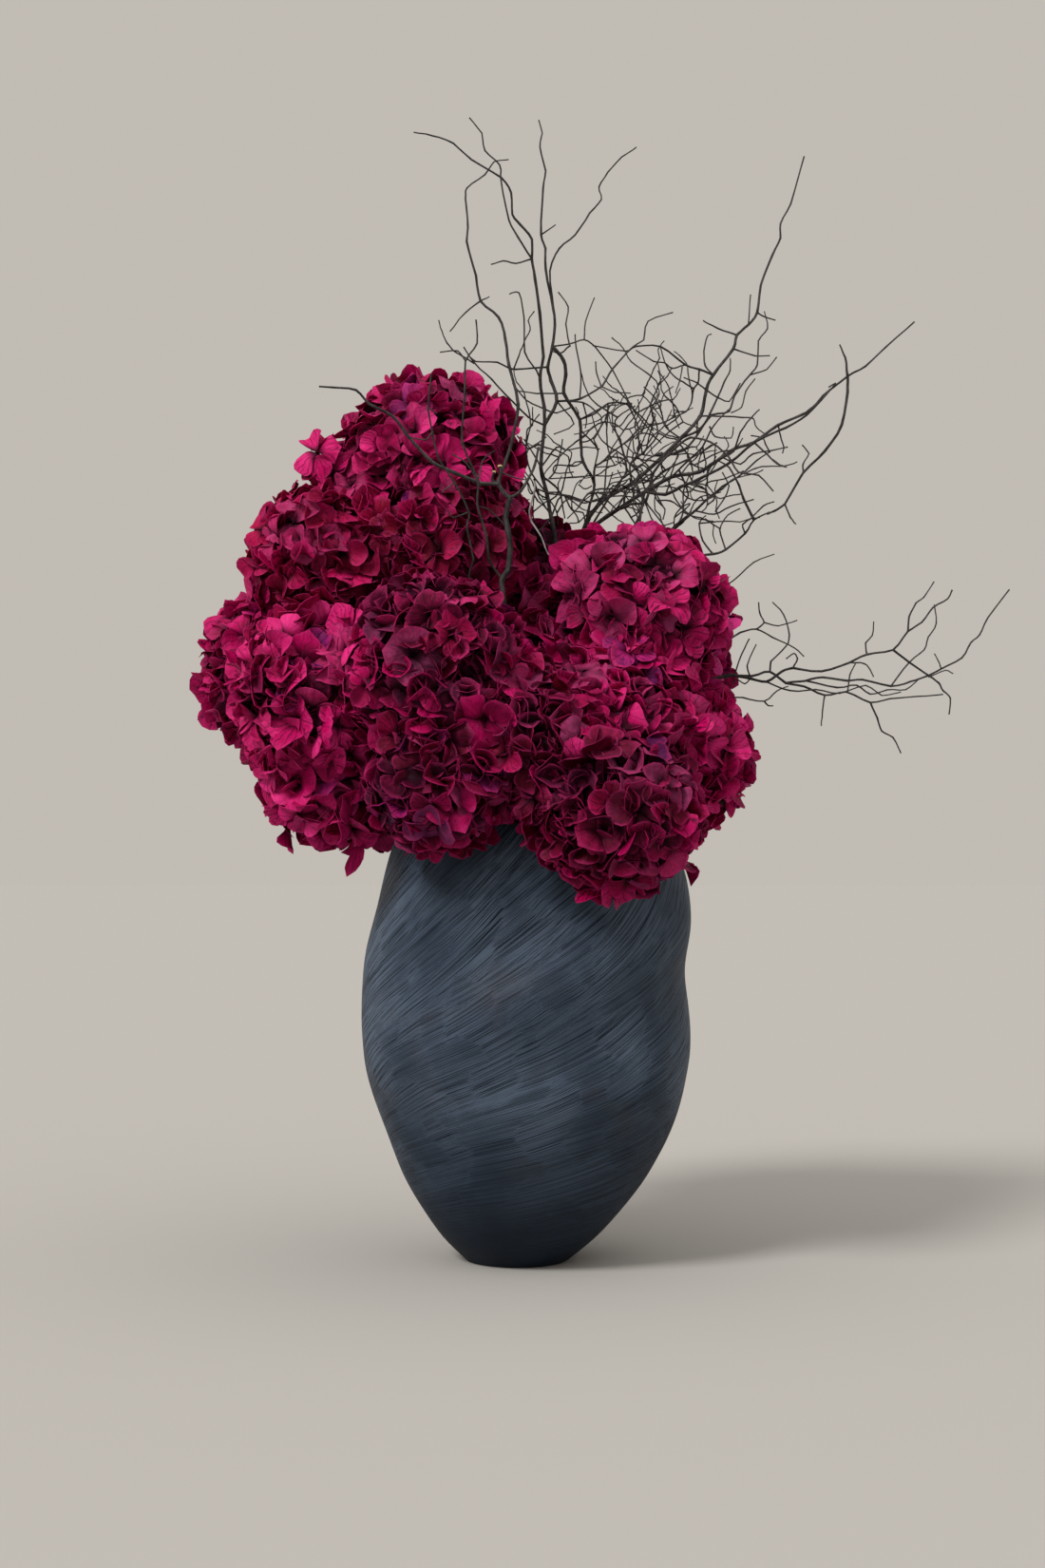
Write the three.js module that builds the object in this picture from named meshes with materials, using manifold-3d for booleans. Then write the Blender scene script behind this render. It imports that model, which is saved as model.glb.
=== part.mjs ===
// An ikebana arrangement: preserved hydrangea heads and wiry twisted-willow branches standing in a
// packed, hand-built stoneware vase. Millimetres, +Z up, origin at the centre of the vase's foot,
// the front of the arrangement faces -Y.
import * as THREE from "three";
import { mergeVertices } from "three/addons/utils/BufferGeometryUtils.js";
import Module from "manifold-3d";

const wasm = await Module();
wasm.setup();

// ---- Driving dimensions ----

// Vase: [height, outer radius] and [height, sideways lean of the axis]
const VASE_OUTLINE = [
  [0, 43.6], [1.5, 46], [21, 67.5], [45, 87], [71, 104.5], [98, 118], [124, 129], [151, 136.6],
  [178, 141], [204, 142.8], [231, 142.5], [260, 141], [289, 139], [316, 135.5], [345, 130],
  [372, 121], [402, 105],
];
const VASE_LEAN = [
  [0, 0], [21, 4.7], [45, 8], [98, 12], [150, 12], [204, 7], [245, 8], [289, 11.5], [316, 13],
  [360, 17], [402, 18],
];
const WALL = 8;
const LIP = 4;
const FLOOR = 14;
const RIM = VASE_OUTLINE.at(-1)[0];
const FOLD = { depth: 3, rise: 112, starts: 3, crest: 316, from: 70, full: 190, strongest: -0.96 };
const AROUND = 22;
const OUTER_STEP = 29;
const INNER_STEPS = 5;

// Packing of dry floral foam, with plain holes for everything that stands in it
const FOAM_TOP = 372;
const FOAM_CLEARANCE = 0.7;
const PLANTED = 300;
const HOLE_CLEARANCE = 0.35;

// Hydrangea heads: name, centre [x, y, z], radius, and where the stem enters the foam [x, y]
const HEADS = [
  ["bloom_top", [-76, 0, 692], 82, [-8, 14]],
  ["bloom_upper_left", [-166, -20, 609], 65, [-36, -8]],
  ["bloom_upper_front", [-64, -36, 621], 75, [-22, -34]],
  ["bloom_far_left", [-206, 10, 514], 71, [-52, 8]],
  ["bloom_left_front", [-168, -85, 492], 70, [-46, -36]],
  ["bloom_lower_left", [-158, -55, 425], 65, [-64, -20]],
  ["bloom_left_back", [-172, 40, 438], 60, [-62, 24]],
  ["bloom_front", [-65, -130, 505], 78, [-10, -56]],
  ["bloom_lower_front", [-67, -140, 413], 59, [-30, -66]],
  ["bloom_centre", [10, -134, 447], 64, [16, -52]],
  ["bloom_centre_right", [88, -115, 460], 62, [46, -48]],
  ["bloom_right_front", [102, -60, 556], 82, [54, -24]],
  ["bloom_lower_right", [78, -158, 388], 71, [34, -74]],
  ["bloom_right", [135, -57, 435], 64, [78, -26]],
  ["bloom_middle", [20, 80, 585], 72, [14, 40]],
  ["bloom_back_left", [-115, 100, 580], 85, [-26, 38]],
  ["bloom_back_low_left", [-125, 115, 435], 72, [-44, 52]],
  ["bloom_back", [-5, 138, 470], 78, [2, 64]],
  ["bloom_back_right", [118, 80, 540], 78, [54, 36]],
  ["bloom_back_low_right", [120, 85, 430], 72, [66, 54]],
];
const HEAD_GAP = 0.8;
const CORE_SHARE = 0.74;

// Florets are half as large again as real ones, so that few of them cover a head
const FLORET_RADIUS = 36;
const FLORET_SPACING = 77;
const FLORET_REACH = [0.88, 0.93, 0.98];
const FLORET_LEAN = 0.5;
const PAST_SEAM = 10;
const BARE_AT_STEM = 0.88;
const CLEAR_OF_VASE = 6;

const STEM_RADIUS = 3.2;
const STEM_SIDES = 4;
const STEM_STOP = 0.3;
const OVER_RIM = 18;

// Branches. A waypoint [x, z] is where it stands against the upright plane through the vase's foot,
// seen from EYE; a third number sets its depth behind that plane. A limb is
// [radius at its root, radius at its tip, depth gained per mm, ...waypoints], and one that starts
// on an earlier limb's waypoint grows from there.
const EYE = new THREE.Vector3(-21, -1910, 348);
const BRANCHES = [
  {
    name: "branch_front",
    limbs: [
      [2.8, 2.6, 0, [9, PLANTED, -14], [7, 372, -22], [0, 480, -58], [-12, 575, -96], [-13, 596, -98],
        [-8, 604, -99], [-6, 622, -100], [-8, 640, -100], [-10, 652, -100], [-6, 667, -100]],
      [2.4, 0.8, -0.1, [-6, 667], [-12, 672], [-17, 679], [-32, 680], [-56, 690], [-75, 699], [-97, 723],
        [-109, 739], [-130, 750], [-141, 762], [-162, 764], [-174, 765]],
      [2.2, 1.5, 0, [-17, 679], [-14, 690], [-15, 695]],
      [1.5, 1.2, 0, [-17, 679], [-22, 683], [-20, 690]],
      [1.6, 0.6, 0.12, [-14, 690], [-10, 699], [-5, 716], [1, 749], [-7, 783], [-10, 806], [-16, 826],
        [-32, 840], [-36, 862], [-44, 892], [-43, 904], [-45, 930], [-44, 939], [-28, 951], [-20, 962],
        [-7, 964]],
      [0.9, 0.6, -0.3, [-32, 840], [-46, 829], [-59, 813]],
      [1.7, 1, 0.25, [-6, 667], [3, 673], [9, 682], [16, 697], [19, 712]],
      [1.3, 0.7, -0.2, [-13, 596], [-24, 612], [-27, 635], [-35, 662], [-34, 682], [-48, 716], [-46, 755],
        [-45, 787], [-35, 803], [-36, 824]],
      [0.8, 0.6, 0.1, [-45, 787], [-52, 796], [-68, 795]],
      [0.8, 0.6, 0.4, [-34, 682], [-30, 700], [-19, 709]],
      [1.2, 0.7, -0.25, [-12, 575], [-30, 586], [-42, 598], [-38, 614], [-44, 640], [-42, 655],
        [-55, 681], [-69, 702], [-74, 725], [-78, 746], [-75, 777]],
      [0.8, 0.6, -0.2, [-42, 655], [-56, 650], [-61, 657]],
      [0.8, 0.6, -0.3, [-8, 640], [-17, 650], [-25, 657], [-34, 660]],
    ],
  },
  {
    name: "branch_tall",
    limbs: [
      [2.8, 2.2, 0, [22, PLANTED, 6], [24, 372, 4], [34, 480, 2], [38, 580, -4], [33, 630, -8],
        [30, 650, -9]],
      [1.9, 0.6, -0.05, [30, 650], [26, 672], [21, 694], [24, 731], [24, 745], [20, 772], [23, 791],
        [20, 829], [16, 860], [13, 877], [13, 894], [3, 907], [-4, 916], [-5, 935], [-14, 948],
        [-40, 964], [-56, 978], [-74, 985], [-91, 988]],
      [1.7, 0.6, 0.08, [24, 731], [35, 752], [30, 770], [27, 782], [31, 800], [33, 818], [32, 833],
        [25, 868], [25, 886], [21, 898], [23, 939], [25, 954], [20, 975], [22, 987], [19, 999]],
      [0.9, 0.6, -0.12, [13, 877], [1, 896], [-7, 911], [-14, 945], [-15, 959], [-28, 972], [-31, 987],
        [-42, 1001]],
      [0.9, 0.6, 0.3, [32, 833], [29, 866], [37, 886], [51, 898], [64, 917], [74, 929], [72, 940],
        [80, 953], [92, 966], [105, 975]],
      [0.8, 0.6, 0.3, [21, 898], [34, 907]],
      [0.8, 0.6, -0.3, [13, 877], [-1, 873], [-12, 875], [-23, 872]],
      [0.8, 0.6, -0.3, [20, 772], [17, 779], [7, 795], [6, 825], [2, 847], [-7, 846]],
      [1.7, 1.1, 0.15, [31, 800], [41, 788], [43, 775], [41, 759], [55, 736], [56, 716], [58, 699],
        [68, 679], [62, 654], [60, 632]],
      [0.9, 0.6, -0.25, [27, 782], [-3, 780], [-17, 786], [-36, 787], [-43, 793]],
      [0.9, 0.6, -0.3, [24, 731], [10, 738], [-10, 758], [-22, 771], [-37, 785], [-47, 800]],
      [0.8, 0.6, 0.4, [41, 759], [17, 759], [0, 761]],
      [1.1, 0.6, 0.35, [35, 752], [55, 754], [75, 766], [84, 781], [102, 800], [111, 806], [115, 822],
        [137, 830]],
      [0.8, 0.6, 0.3, [55, 754], [56, 777], [52, 800], [51, 811]],
      [0.8, 0.6, 0.45, [31, 800], [46, 802], [59, 806], [69, 799], [84, 779], [97, 754]],
      [0.7, 0.6, 0.3, [59, 806], [60, 822], [68, 843]],
      [0.9, 0.6, 0.5, [55, 736], [68, 741], [80, 750], [95, 750], [110, 738], [120, 726]],
      [0.8, 0.6, -0.3, [21, 694], [35, 712], [43, 709], [60, 712], [73, 710]],
      [0.8, 0.6, -0.4, [58, 699], [50, 695], [34, 696], [33, 689], [50, 690]],
      [0.8, 0.6, -0.5, [26, 672], [12, 690], [8, 710], [12, 730], [20, 741]],
      [0.9, 0.6, 0.5, [30, 650], [40, 670], [62, 664], [76, 668], [84, 690]],
    ],
  },
  {
    name: "branch_sweep_high",
    limbs: [
      [2.8, 2.2, 0, [36, PLANTED, 20], [38, 372, 20], [48, 480, 22], [52, 580, 20], [54, 625, 20],
        [63, 650, 22]],
      [2, 0.7, 0.25, [63, 650], [76, 666], [101, 680], [128, 704], [143, 719], [161, 739], [166, 762],
        [172, 775], [190, 798], [193, 810], [203, 819], [211, 830], [214, 854], [224, 880], [231, 895],
        [231, 908], [240, 925], [252, 967]],
      [0.8, 0.6, 0.3, [211, 830], [217, 826], [227, 823]],
      [0.9, 0.6, -0.2, [193, 810], [176, 816], [163, 823]],
      [0.8, 0.6, 0.4, [190, 798], [209, 792], [222, 792]],
      [0.7, 0.6, -0.2, [203, 819], [205, 846]],
      [1.3, 0.6, 0.35, [128, 704], [146, 709], [158, 722], [171, 744], [182, 769], [187, 779],
        [187, 790]],
      [1.2, 0.6, 0.5, [143, 719], [160, 727], [171, 740], [186, 743], [191, 757], [204, 775],
        [211, 784], [212, 805], [220, 816], [217, 831]],
      [1.1, 0.6, -0.3, [172, 775], [160, 780], [148, 784], [126, 800], [105, 800], [96, 796], [66, 801]],
      [0.8, 0.6, -0.1, [148, 784], [136, 781], [129, 786], [120, 787], [104, 797]],
      [0.9, 0.6, 0.3, [172, 775], [165, 783], [164, 796], [167, 809], [171, 811]],
      [0.9, 0.6, 0.45, [101, 680], [99, 697], [110, 706], [124, 724], [117, 748], [124, 766], [115, 776],
        [100, 787], [93, 799], [83, 808]],
      [0.8, 0.6, 0.5, [76, 666], [80, 703], [94, 727], [104, 741], [96, 754], [110, 757], [121, 745],
        [133, 728]],
      [0.9, 0.6, -0.2, [161, 739], [175, 739], [197, 738], [207, 737], [210, 729], [218, 723]],
      [0.8, 0.6, 0.4, [166, 762], [175, 756], [186, 752], [196, 768]],
    ],
  },
  {
    name: "branch_sweep_long",
    limbs: [
      [2.8, 2.2, 0, [38, PLANTED, -12], [40, 372, -14], [50, 480, -22], [46, 580, -34], [48, 612, -36],
        [64, 640, -38]],
      [2, 0.7, -0.12, [64, 640], [80, 652], [113, 673], [136, 686], [160, 690], [180, 703], [190, 710],
        [208, 716], [229, 731], [250, 740], [260, 747], [269, 757], [290, 774], [306, 783], [323, 799],
        [349, 822]],
      [1.6, 0.7, -0.3, [113, 673], [130, 670], [144, 677], [160, 684], [185, 697], [210, 717],
        [236, 729], [254, 740], [272, 759], [280, 768]],
      [1.2, 0.6, 0.2, [290, 774], [288, 790], [283, 802]],
      [1.4, 0.8, -0.1, [290, 774], [290, 760], [285, 731], [270, 708], [251, 689], [235, 662],
        [226, 656]],
      [0.8, 0.6, -0.2, [235, 662], [240, 650], [245, 644]],
      [0.8, 0.6, 0.3, [251, 689], [251, 697], [256, 706], [250, 714]],
      [0.9, 0.6, -0.5, [208, 716], [220, 705], [228, 697], [237, 694]],
      [1, 0.6, -0.5, [160, 690], [175, 700], [190, 708], [196, 725], [205, 737], [213, 745]],
      [1.3, 0.7, -0.4, [80, 652], [100, 662], [113, 664], [120, 690], [140, 712], [152, 720],
        [170, 716], [186, 703], [194, 690], [212, 687], [225, 673]],
      [0.9, 0.6, -0.6, [136, 686], [150, 700], [163, 712], [172, 730], [186, 745]],
      [0.8, 0.6, -0.3, [180, 703], [196, 697], [207, 706], [224, 709], [238, 712]],
      [1, 0.6, -0.4, [64, 640], [86, 676], [96, 690], [92, 712], [86, 728], [88, 738], [104, 748]],
      [0.8, 0.6, 0.2, [113, 673], [106, 690], [96, 702], [102, 722], [112, 731], [128, 733]],
    ],
  },
  {
    name: "branch_sweep_low",
    limbs: [
      [2.6, 2, 0, [54, PLANTED, 8], [56, 372, 8], [66, 480, 12], [74, 570, 18], [90, 618, 24]],
      [1.6, 0.7, -0.1, [90, 618], [120, 624], [150, 617], [172, 618], [183, 622], [200, 636],
        [208, 648], [222, 655]],
      [1.3, 0.6, -0.3, [208, 648], [199, 666], [195, 678], [186, 694], [176, 700]],
      [1.5, 0.7, -0.2, [90, 618], [108, 652], [112, 672], [128, 690], [152, 702], [176, 716]],
      [1.4, 0.6, -0.35, [120, 624], [140, 642], [156, 656], [168, 667], [180, 677], [196, 687],
        [210, 700], [222, 708]],
      [0.9, 0.6, -0.5, [156, 656], [173, 653], [188, 660], [208, 666]],
      [0.9, 0.6, 0.3, [140, 642], [146, 655], [146, 672], [152, 690]],
      [0.8, 0.6, 0.4, [168, 667], [166, 680], [182, 684], [199, 691]],
      [0.9, 0.6, 0.4, [172, 618], [163, 630], [160, 645], [166, 652]],
      [0.9, 0.6, -0.2, [90, 618], [112, 640], [133, 632]],
      [0.8, 0.6, 0.4, [183, 622], [178, 640], [185, 652], [196, 658]],
      [0.8, 0.6, -0.5, [200, 636], [198, 644], [205, 649], [216, 660], [226, 664]],
      [0.9, 0.6, 0.3, [150, 617], [166, 604], [180, 591], [190, 595], [208, 611], [226, 618]],
    ],
  },
  {
    name: "spray_low",
    limbs: [
      [2.4, 1.8, 0, [68, PLANTED, 24], [70, 372, 24], [84, 430, 30], [124, 482, 24], [160, 504, 14],
        [188, 512, 6]],
      [1.4, 0.7, -0.2, [188, 512], [205, 509], [219, 506], [232, 515], [242, 518], [267, 515],
        [292, 523], [307, 530], [330, 534], [343, 550], [355, 558], [365, 571], [378, 579], [382, 587]],
      [0.9, 0.6, 0.3, [343, 550], [344, 563], [350, 575], [357, 580], [366, 594]],
      [1, 0.6, 0.3, [330, 534], [344, 523], [362, 511], [370, 505], [374, 498], [380, 492], [379, 477]],
      [0.8, 0.6, 0.3, [307, 530], [306, 540], [312, 547], [313, 559]],
      [0.8, 0.6, -0.3, [292, 523], [305, 522], [310, 516], [313, 510]],
      [1.3, 0.7, 0.25, [188, 512], [206, 511], [222, 515], [236, 505], [252, 502], [270, 494],
        [289, 497], [310, 488], [327, 491], [351, 493], [374, 495]],
      [0.9, 0.6, 0.2, [310, 488], [316, 474], [320, 463], [330, 457], [337, 443]],
      [0.8, 0.6, -0.2, [270, 494], [268, 480], [267, 467]],
      [1.2, 0.7, 0.5, [236, 505], [253, 507], [268, 510], [290, 507], [303, 508], [328, 502], [345, 506],
        [360, 511], [372, 517], [390, 527], [398, 540], [406, 547], [413, 562], [432, 587]],
      [0.8, 0.6, 0.2, [328, 502], [344, 523], [357, 534], [361, 545], [368, 557], [366, 574]],
      [0.9, 0.6, 0.6, [253, 507], [281, 501], [298, 503], [310, 495], [325, 499], [341, 499],
        [353, 509]],
      [0.9, 0.6, 0.6, [160, 504], [188, 493], [198, 492], [217, 489], [228, 498], [238, 502]],
      [0.9, 0.6, 0.4, [222, 515], [223, 524], [236, 537], [239, 547], [234, 565], [224, 576]],
      [1, 0.6, 0.3, [160, 504], [176, 534], [196, 549], [210, 552], [224, 545], [243, 536], [252, 528]],
      [0.8, 0.6, -0.4, [210, 552], [217, 558], [213, 566], [212, 576]],
      [0.7, 0.6, 0.3, [217, 558], [229, 555], [246, 560]],
      [0.8, 0.6, -0.3, [242, 518], [246, 526], [243, 531], [236, 526]],
    ],
  },
];
const THICK_LIMB = 2;

// Finishes: colour, roughness
const STONEWARE = ["#28313a", 0.7];
const FOAM = ["#6d6a4c", 0.95];
const SEPALS = ["#7d0d3e", 0.75];
const STALK = ["#4d4a35", 0.8];
const BARK = ["#2b2a2b", 0.85];

// ---- Helpers ----

// Smooth value at t through a list of [t, value] pairs.
function along(pairs, t) {
  const last = pairs.length - 1;
  const i = Math.min(Math.max(pairs.findLastIndex(([at]) => at <= t), 0), last - 1);
  const slope = (k) => {
    const [before, after] = [pairs[Math.max(k - 1, 0)], pairs[Math.min(k + 1, last)]];
    return (after[1] - before[1]) / (after[0] - before[0]);
  };
  const [[t0, v0], [t1, v1]] = [pairs[i], pairs[i + 1]];
  const width = t1 - t0;
  const u = (t - t0) / width;
  const rest = 1 - u;
  return (
    v0 * rest * rest * (1 + 2 * u) + v1 * u * u * (3 - 2 * u) +
    width * u * rest * (slope(i) * rest - slope(i + 1) * u)
  );
}

// A repeatable random number from 0 to 1 at each call.
function seeded(seed) {
  let state = seed;
  return () => {
    state = (state * 1664525 + 1013904223) % 4294967296;
    return state / 4294967296;
  };
}

function geometryOf(points, faces) {
  const geometry = new THREE.BufferGeometry().setFromPoints(points);
  geometry.setIndex(faces);
  return geometry;
}

// Closed skin over a stack of rings with equal point counts, both end rings closed by a fan.
function loft(rings) {
  const count = rings[0].length;
  const faces = [];
  for (let ring = 0; ring + 1 < rings.length; ring++) {
    for (let i = 0; i < count; i++) {
      const a = ring * count + i;
      const b = ring * count + ((i + 1) % count);
      faces.push(a, b, b + count, a, b + count, a + count);
    }
  }
  const top = (rings.length - 1) * count;
  for (let i = 1; i + 1 < count; i++) {
    faces.push(0, i + 1, i, top, top + i, top + i + 1);
  }
  return geometryOf(rings.flat(), faces);
}

// The same skin with its faces turned the other way.
function insideOut(geometry) {
  const { array } = geometry.index;
  for (let i = 0; i < array.length; i += 3) {
    [array[i + 1], array[i + 2]] = [array[i + 2], array[i + 1]];
  }
  return geometry;
}

// Tapered rod through points, its section carried along without twist.
function rod(points, rootRadius, tipRadius, sides) {
  const heading = points.map((_, i) =>
    points[Math.min(i + 1, points.length - 1)].clone().sub(points[Math.max(i - 1, 0)]).normalize(),
  );
  const across = new THREE.Vector3(0, 1, 0).cross(heading[0]);
  if (across.length() < 0.1) across.set(1, 0, 0);
  return loft(
    points.map((point, i) => {
      across.addScaledVector(heading[i], -across.dot(heading[i])).normalize();
      const up = heading[i].clone().cross(across);
      const radius = THREE.MathUtils.lerp(rootRadius, tipRadius, i / (points.length - 1));
      return Array.from({ length: sides }, (_, k) => {
        const turn = (2 * Math.PI * k) / sides;
        return point.clone()
          .addScaledVector(across, radius * Math.cos(turn))
          .addScaledVector(up, radius * Math.sin(turn));
      });
    }),
  );
}

function solidOf(geometry) {
  const bare = geometry.clone();
  bare.deleteAttribute("normal");
  bare.deleteAttribute("uv");
  const merged = mergeVertices(bare, 1e-4);
  return new wasm.Manifold(
    new wasm.Mesh({
      numProp: 3,
      vertProperties: merged.attributes.position.array,
      triVerts: new Uint32Array(merged.index.array),
    }),
  );
}

function meshOf(name, solid, [color, roughness]) {
  const { vertProperties, triVerts } = solid.getMesh();
  const geometry = new THREE.BufferGeometry()
    .setAttribute("position", new THREE.BufferAttribute(vertProperties, 3))
    .setIndex(new THREE.BufferAttribute(triVerts, 1));
  geometry.computeVertexNormals();
  const mesh = new THREE.Mesh(
    geometry,
    new THREE.MeshStandardMaterial({ color, roughness, metalness: 0 }),
  );
  mesh.name = name;
  return mesh;
}

// The biggest of a solid's separate bodies, without sliver edges; loose scraps are dropped.
const SLIVER = 0.1;
function mainBody(solid) {
  const bodies = solid.decompose().sort((a, b) => b.volume() - a.volume());
  return bodies[0].asOriginal().simplify(SLIVER);
}

// ---- Vase and packing ----

// Outer radius of the vase: a smooth belly with broad folds that climb round it to the right.
function vaseRadius(angle, height) {
  const { depth, rise, starts, crest, from, full, strongest } = FOLD;
  const strength = 0.35 + 0.325 * (1 + Math.cos(angle - strongest));
  const grown = THREE.MathUtils.smoothstep(height, from, full);
  const wave = Math.cos((2 * Math.PI * (height - crest)) / rise - starts * angle);
  return along(VASE_OUTLINE, height) + depth * strength * grown * wave;
}

// The wall is measured square to its surface, so it is wider on the level where the side slopes.
function wallAt(height) {
  const slope = along(VASE_OUTLINE, height + 1) - along(VASE_OUTLINE, height);
  return WALL * Math.hypot(1, slope);
}

function vaseRing(height, inset, level = height) {
  return Array.from({ length: AROUND }, (_, i) => {
    const angle = (2 * Math.PI * i) / AROUND;
    const radius = vaseRadius(angle, height) - inset;
    return new THREE.Vector3(
      along(VASE_LEAN, height) + radius * Math.cos(angle),
      radius * Math.sin(angle),
      level,
    );
  });
}

const outerLevels = [0, VASE_OUTLINE[1][0]];
while (outerLevels.at(-1) + OUTER_STEP < RIM - LIP) {
  outerLevels.push(outerLevels.at(-1) + OUTER_STEP);
}
outerLevels.push(RIM - LIP);
const innerLevels = Array.from(
  { length: INNER_STEPS + 1 },
  (_, i) => FOAM_TOP + ((FLOOR - FOAM_TOP) * i) / INNER_STEPS,
);
const outside = outerLevels.map((height) => vaseRing(height, 0));
const lip = [
  vaseRing(RIM - LIP, LIP / 2, RIM),
  vaseRing(RIM - LIP, WALL - LIP / 2, RIM),
  vaseRing(RIM - LIP, WALL),
];
const inside = innerLevels.map((height) => vaseRing(height, wallAt(height)));
const vase = solidOf(loft([...outside, ...lip, ...inside]));
const vaseKeepOut = solidOf(
  loft([...outerLevels.map((height) => vaseRing(height, -HEAD_GAP)), vaseRing(RIM - LIP, 0, RIM + HEAD_GAP)]),
);

// Its rings run downwards as the wall's do, so that both skins fold along the same lines.
const foamRings = innerLevels.map((height) =>
  vaseRing(height, wallAt(height) + FOAM_CLEARANCE, Math.max(height, FLOOR + FOAM_CLEARANCE)),
);
const foamBlock = solidOf(insideOut(loft(foamRings)));

// ---- Stems and branches ----

const mouth = new THREE.Vector3(along(VASE_LEAN, RIM), 0, RIM);
const MOUTH_REACH = VASE_OUTLINE.at(-1)[1] - WALL / 2;
const ROUTE_STEPS = 50;

// A head's stem stands in the foam, clears the rim where the head hangs low, and ends in its core.
function stemRoute([, centre, radius, [x, y]]) {
  const head = new THREE.Vector3(...centre);
  const leave = new THREE.Vector3(x, y, FOAM_TOP);
  const route = [new THREE.Vector3(x, y, PLANTED), leave];
  for (let step = 0; step < ROUTE_STEPS; step++) {
    const over = leave.clone().lerp(head, step / ROUTE_STEPS);
    if (Math.hypot(over.x - mouth.x, over.y - mouth.y) > MOUTH_REACH) {
      if (over.z < RIM + OVER_RIM) route.push(over.setZ(RIM + OVER_RIM));
      break;
    }
  }
  const inward = head.clone().sub(route.at(-1)).normalize();
  route.push(head.addScaledVector(inward, -radius * STEM_STOP));
  return route;
}

const STEM_STEPS = 4;
function stemRod(head, extra = 0) {
  const curve = new THREE.CatmullRomCurve3(stemRoute(head), false, "centripetal");
  return solidOf(rod(curve.getPoints(STEM_STEPS), STEM_RADIUS + extra, STEM_RADIUS + extra, STEM_SIDES));
}

// Waypoints of a branch's limbs in space.
function growth({ limbs }) {
  const depths = new Map();
  return limbs.map(([root, tip, drift, ...route]) => {
    let depth = depths.get(String(route[0].slice(0, 2))) ?? 0;
    const points = route.map(([x, z, given], i) => {
      if (i) depth += drift * Math.hypot(x - route[i - 1][0], z - route[i - 1][1]);
      depth = given ?? depth;
      const key = String([x, z]);
      if (!depths.has(key)) depths.set(key, depth);
      const away = (depth - EYE.y) / -EYE.y;
      return new THREE.Vector3(x, 0, z).sub(EYE).multiplyScalar(away).add(EYE);
    });
    return { points, root, tip };
  });
}

function branchSolid(limbs, extra = 0) {
  const rods = limbs.map(({ points, root, tip }) =>
    solidOf(rod(points, root + extra, tip + extra, root > THICK_LIMB ? 4 : 3)),
  );
  return mainBody(wasm.Manifold.union(rods));
}

const stems = HEADS.map((head) => stemRod(head));
const growths = BRANCHES.map(growth);
const branches = growths.map((limbs) => branchSolid(limbs));
const holes = wasm.Manifold.union([
  ...HEADS.map((head) => stemRod(head, HOLE_CLEARANCE)),
  ...growths.map((limbs) => branchSolid(limbs, HOLE_CLEARANCE)),
]);

// ---- Hydrangea heads ----

// One floret, 1 across from its centre to a sepal's tip, facing +Z: four broad sepals, two of them
// a little behind the others, that thicken to a short stalk.
const NOTCH = 0.6;
const SEPAL_HALF_ANGLE = 0.48;
const SEPAL_LIFT = [0.16, -0.04];
const STALK_RADIUS = 0.12;
const STALK_TOP = -0.16;
const STALK_LENGTH = 1.1;
const STALK_SIDES = 3;
function floret() {
  const at = (radius, angle, z) =>
    new THREE.Vector3(radius * Math.cos(angle), radius * Math.sin(angle), z);
  const rim = [];
  for (let sepal = 0; sepal < 4; sepal++) {
    const middle = (sepal * Math.PI) / 2;
    const lift = SEPAL_LIFT[sepal % 2];
    rim.push(
      at(NOTCH, middle - Math.PI / 4, 0),
      at(1, middle - SEPAL_HALF_ANGLE, lift),
      at(1, middle + SEPAL_HALF_ANGLE, lift),
    );
  }
  const ring = (z) =>
    Array.from({ length: STALK_SIDES }, (_, i) => at(STALK_RADIUS, (2 * Math.PI * i) / STALK_SIDES, z));
  const points = [new THREE.Vector3(0, 0, -0.04), ...rim, ...ring(STALK_TOP), ...ring(-STALK_LENGTH)];
  const top = 1 + rim.length;
  const foot = top + STALK_SIDES;
  const each = rim.length / STALK_SIDES;
  const faces = [foot, foot + 2, foot + 1];
  for (let i = 0; i < rim.length; i++) {
    const [a, b] = [1 + i, 1 + ((i + 1) % rim.length)];
    faces.push(0, a, b, b, a, top + Math.floor(i / each));
  }
  for (let i = 0; i < STALK_SIDES; i++) {
    const next = (i + 1) % STALK_SIDES;
    faces.push(top + i, top + next, 1 + next * each);
    faces.push(top + i, foot + i, foot + next, top + i, foot + next, top + next);
  }
  return geometryOf(points, faces);
}

const floretGeometry = floret();
const GOLDEN_ANGLE = Math.PI * (3 - Math.sqrt(5));
const UP = new THREE.Vector3(0, 0, 1);

// The flat seams where a head meets its neighbours: each has a unit normal and its distance out.
function seamsOf(index) {
  const centre = new THREE.Vector3(...HEADS[index][1]);
  const radius = HEADS[index][2];
  return HEADS.flatMap(([, other, otherRadius], k) => {
    const towards = new THREE.Vector3(...other).sub(centre);
    const apart = towards.length();
    if (k === index || apart > radius + otherRadius + FLORET_RADIUS) return [];
    const share = (apart * apart + radius * radius - otherRadius * otherRadius) / (2 * apart);
    return [{ normal: towards.normalize(), out: share - HEAD_GAP / 2 }];
  });
}

// Whether a floret set there would reach into the vase.
function meetsVase(place) {
  if (place.z > RIM + CLEAR_OF_VASE) return false;
  const angle = Math.atan2(place.y, place.x - mouth.x);
  return Math.hypot(place.x - mouth.x, place.y) < vaseRadius(angle, place.z) + CLEAR_OF_VASE;
}

// Directions spread evenly over a sphere.
function spread(count, phase) {
  return Array.from({ length: count }, (_, i) => {
    const height = 1 - (2 * i + 1) / count;
    const level = Math.sqrt(1 - height * height);
    const turn = i * GOLDEN_ANGLE + phase;
    return new THREE.Vector3(level * Math.cos(turn), level * Math.sin(turn), height);
  });
}

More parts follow.
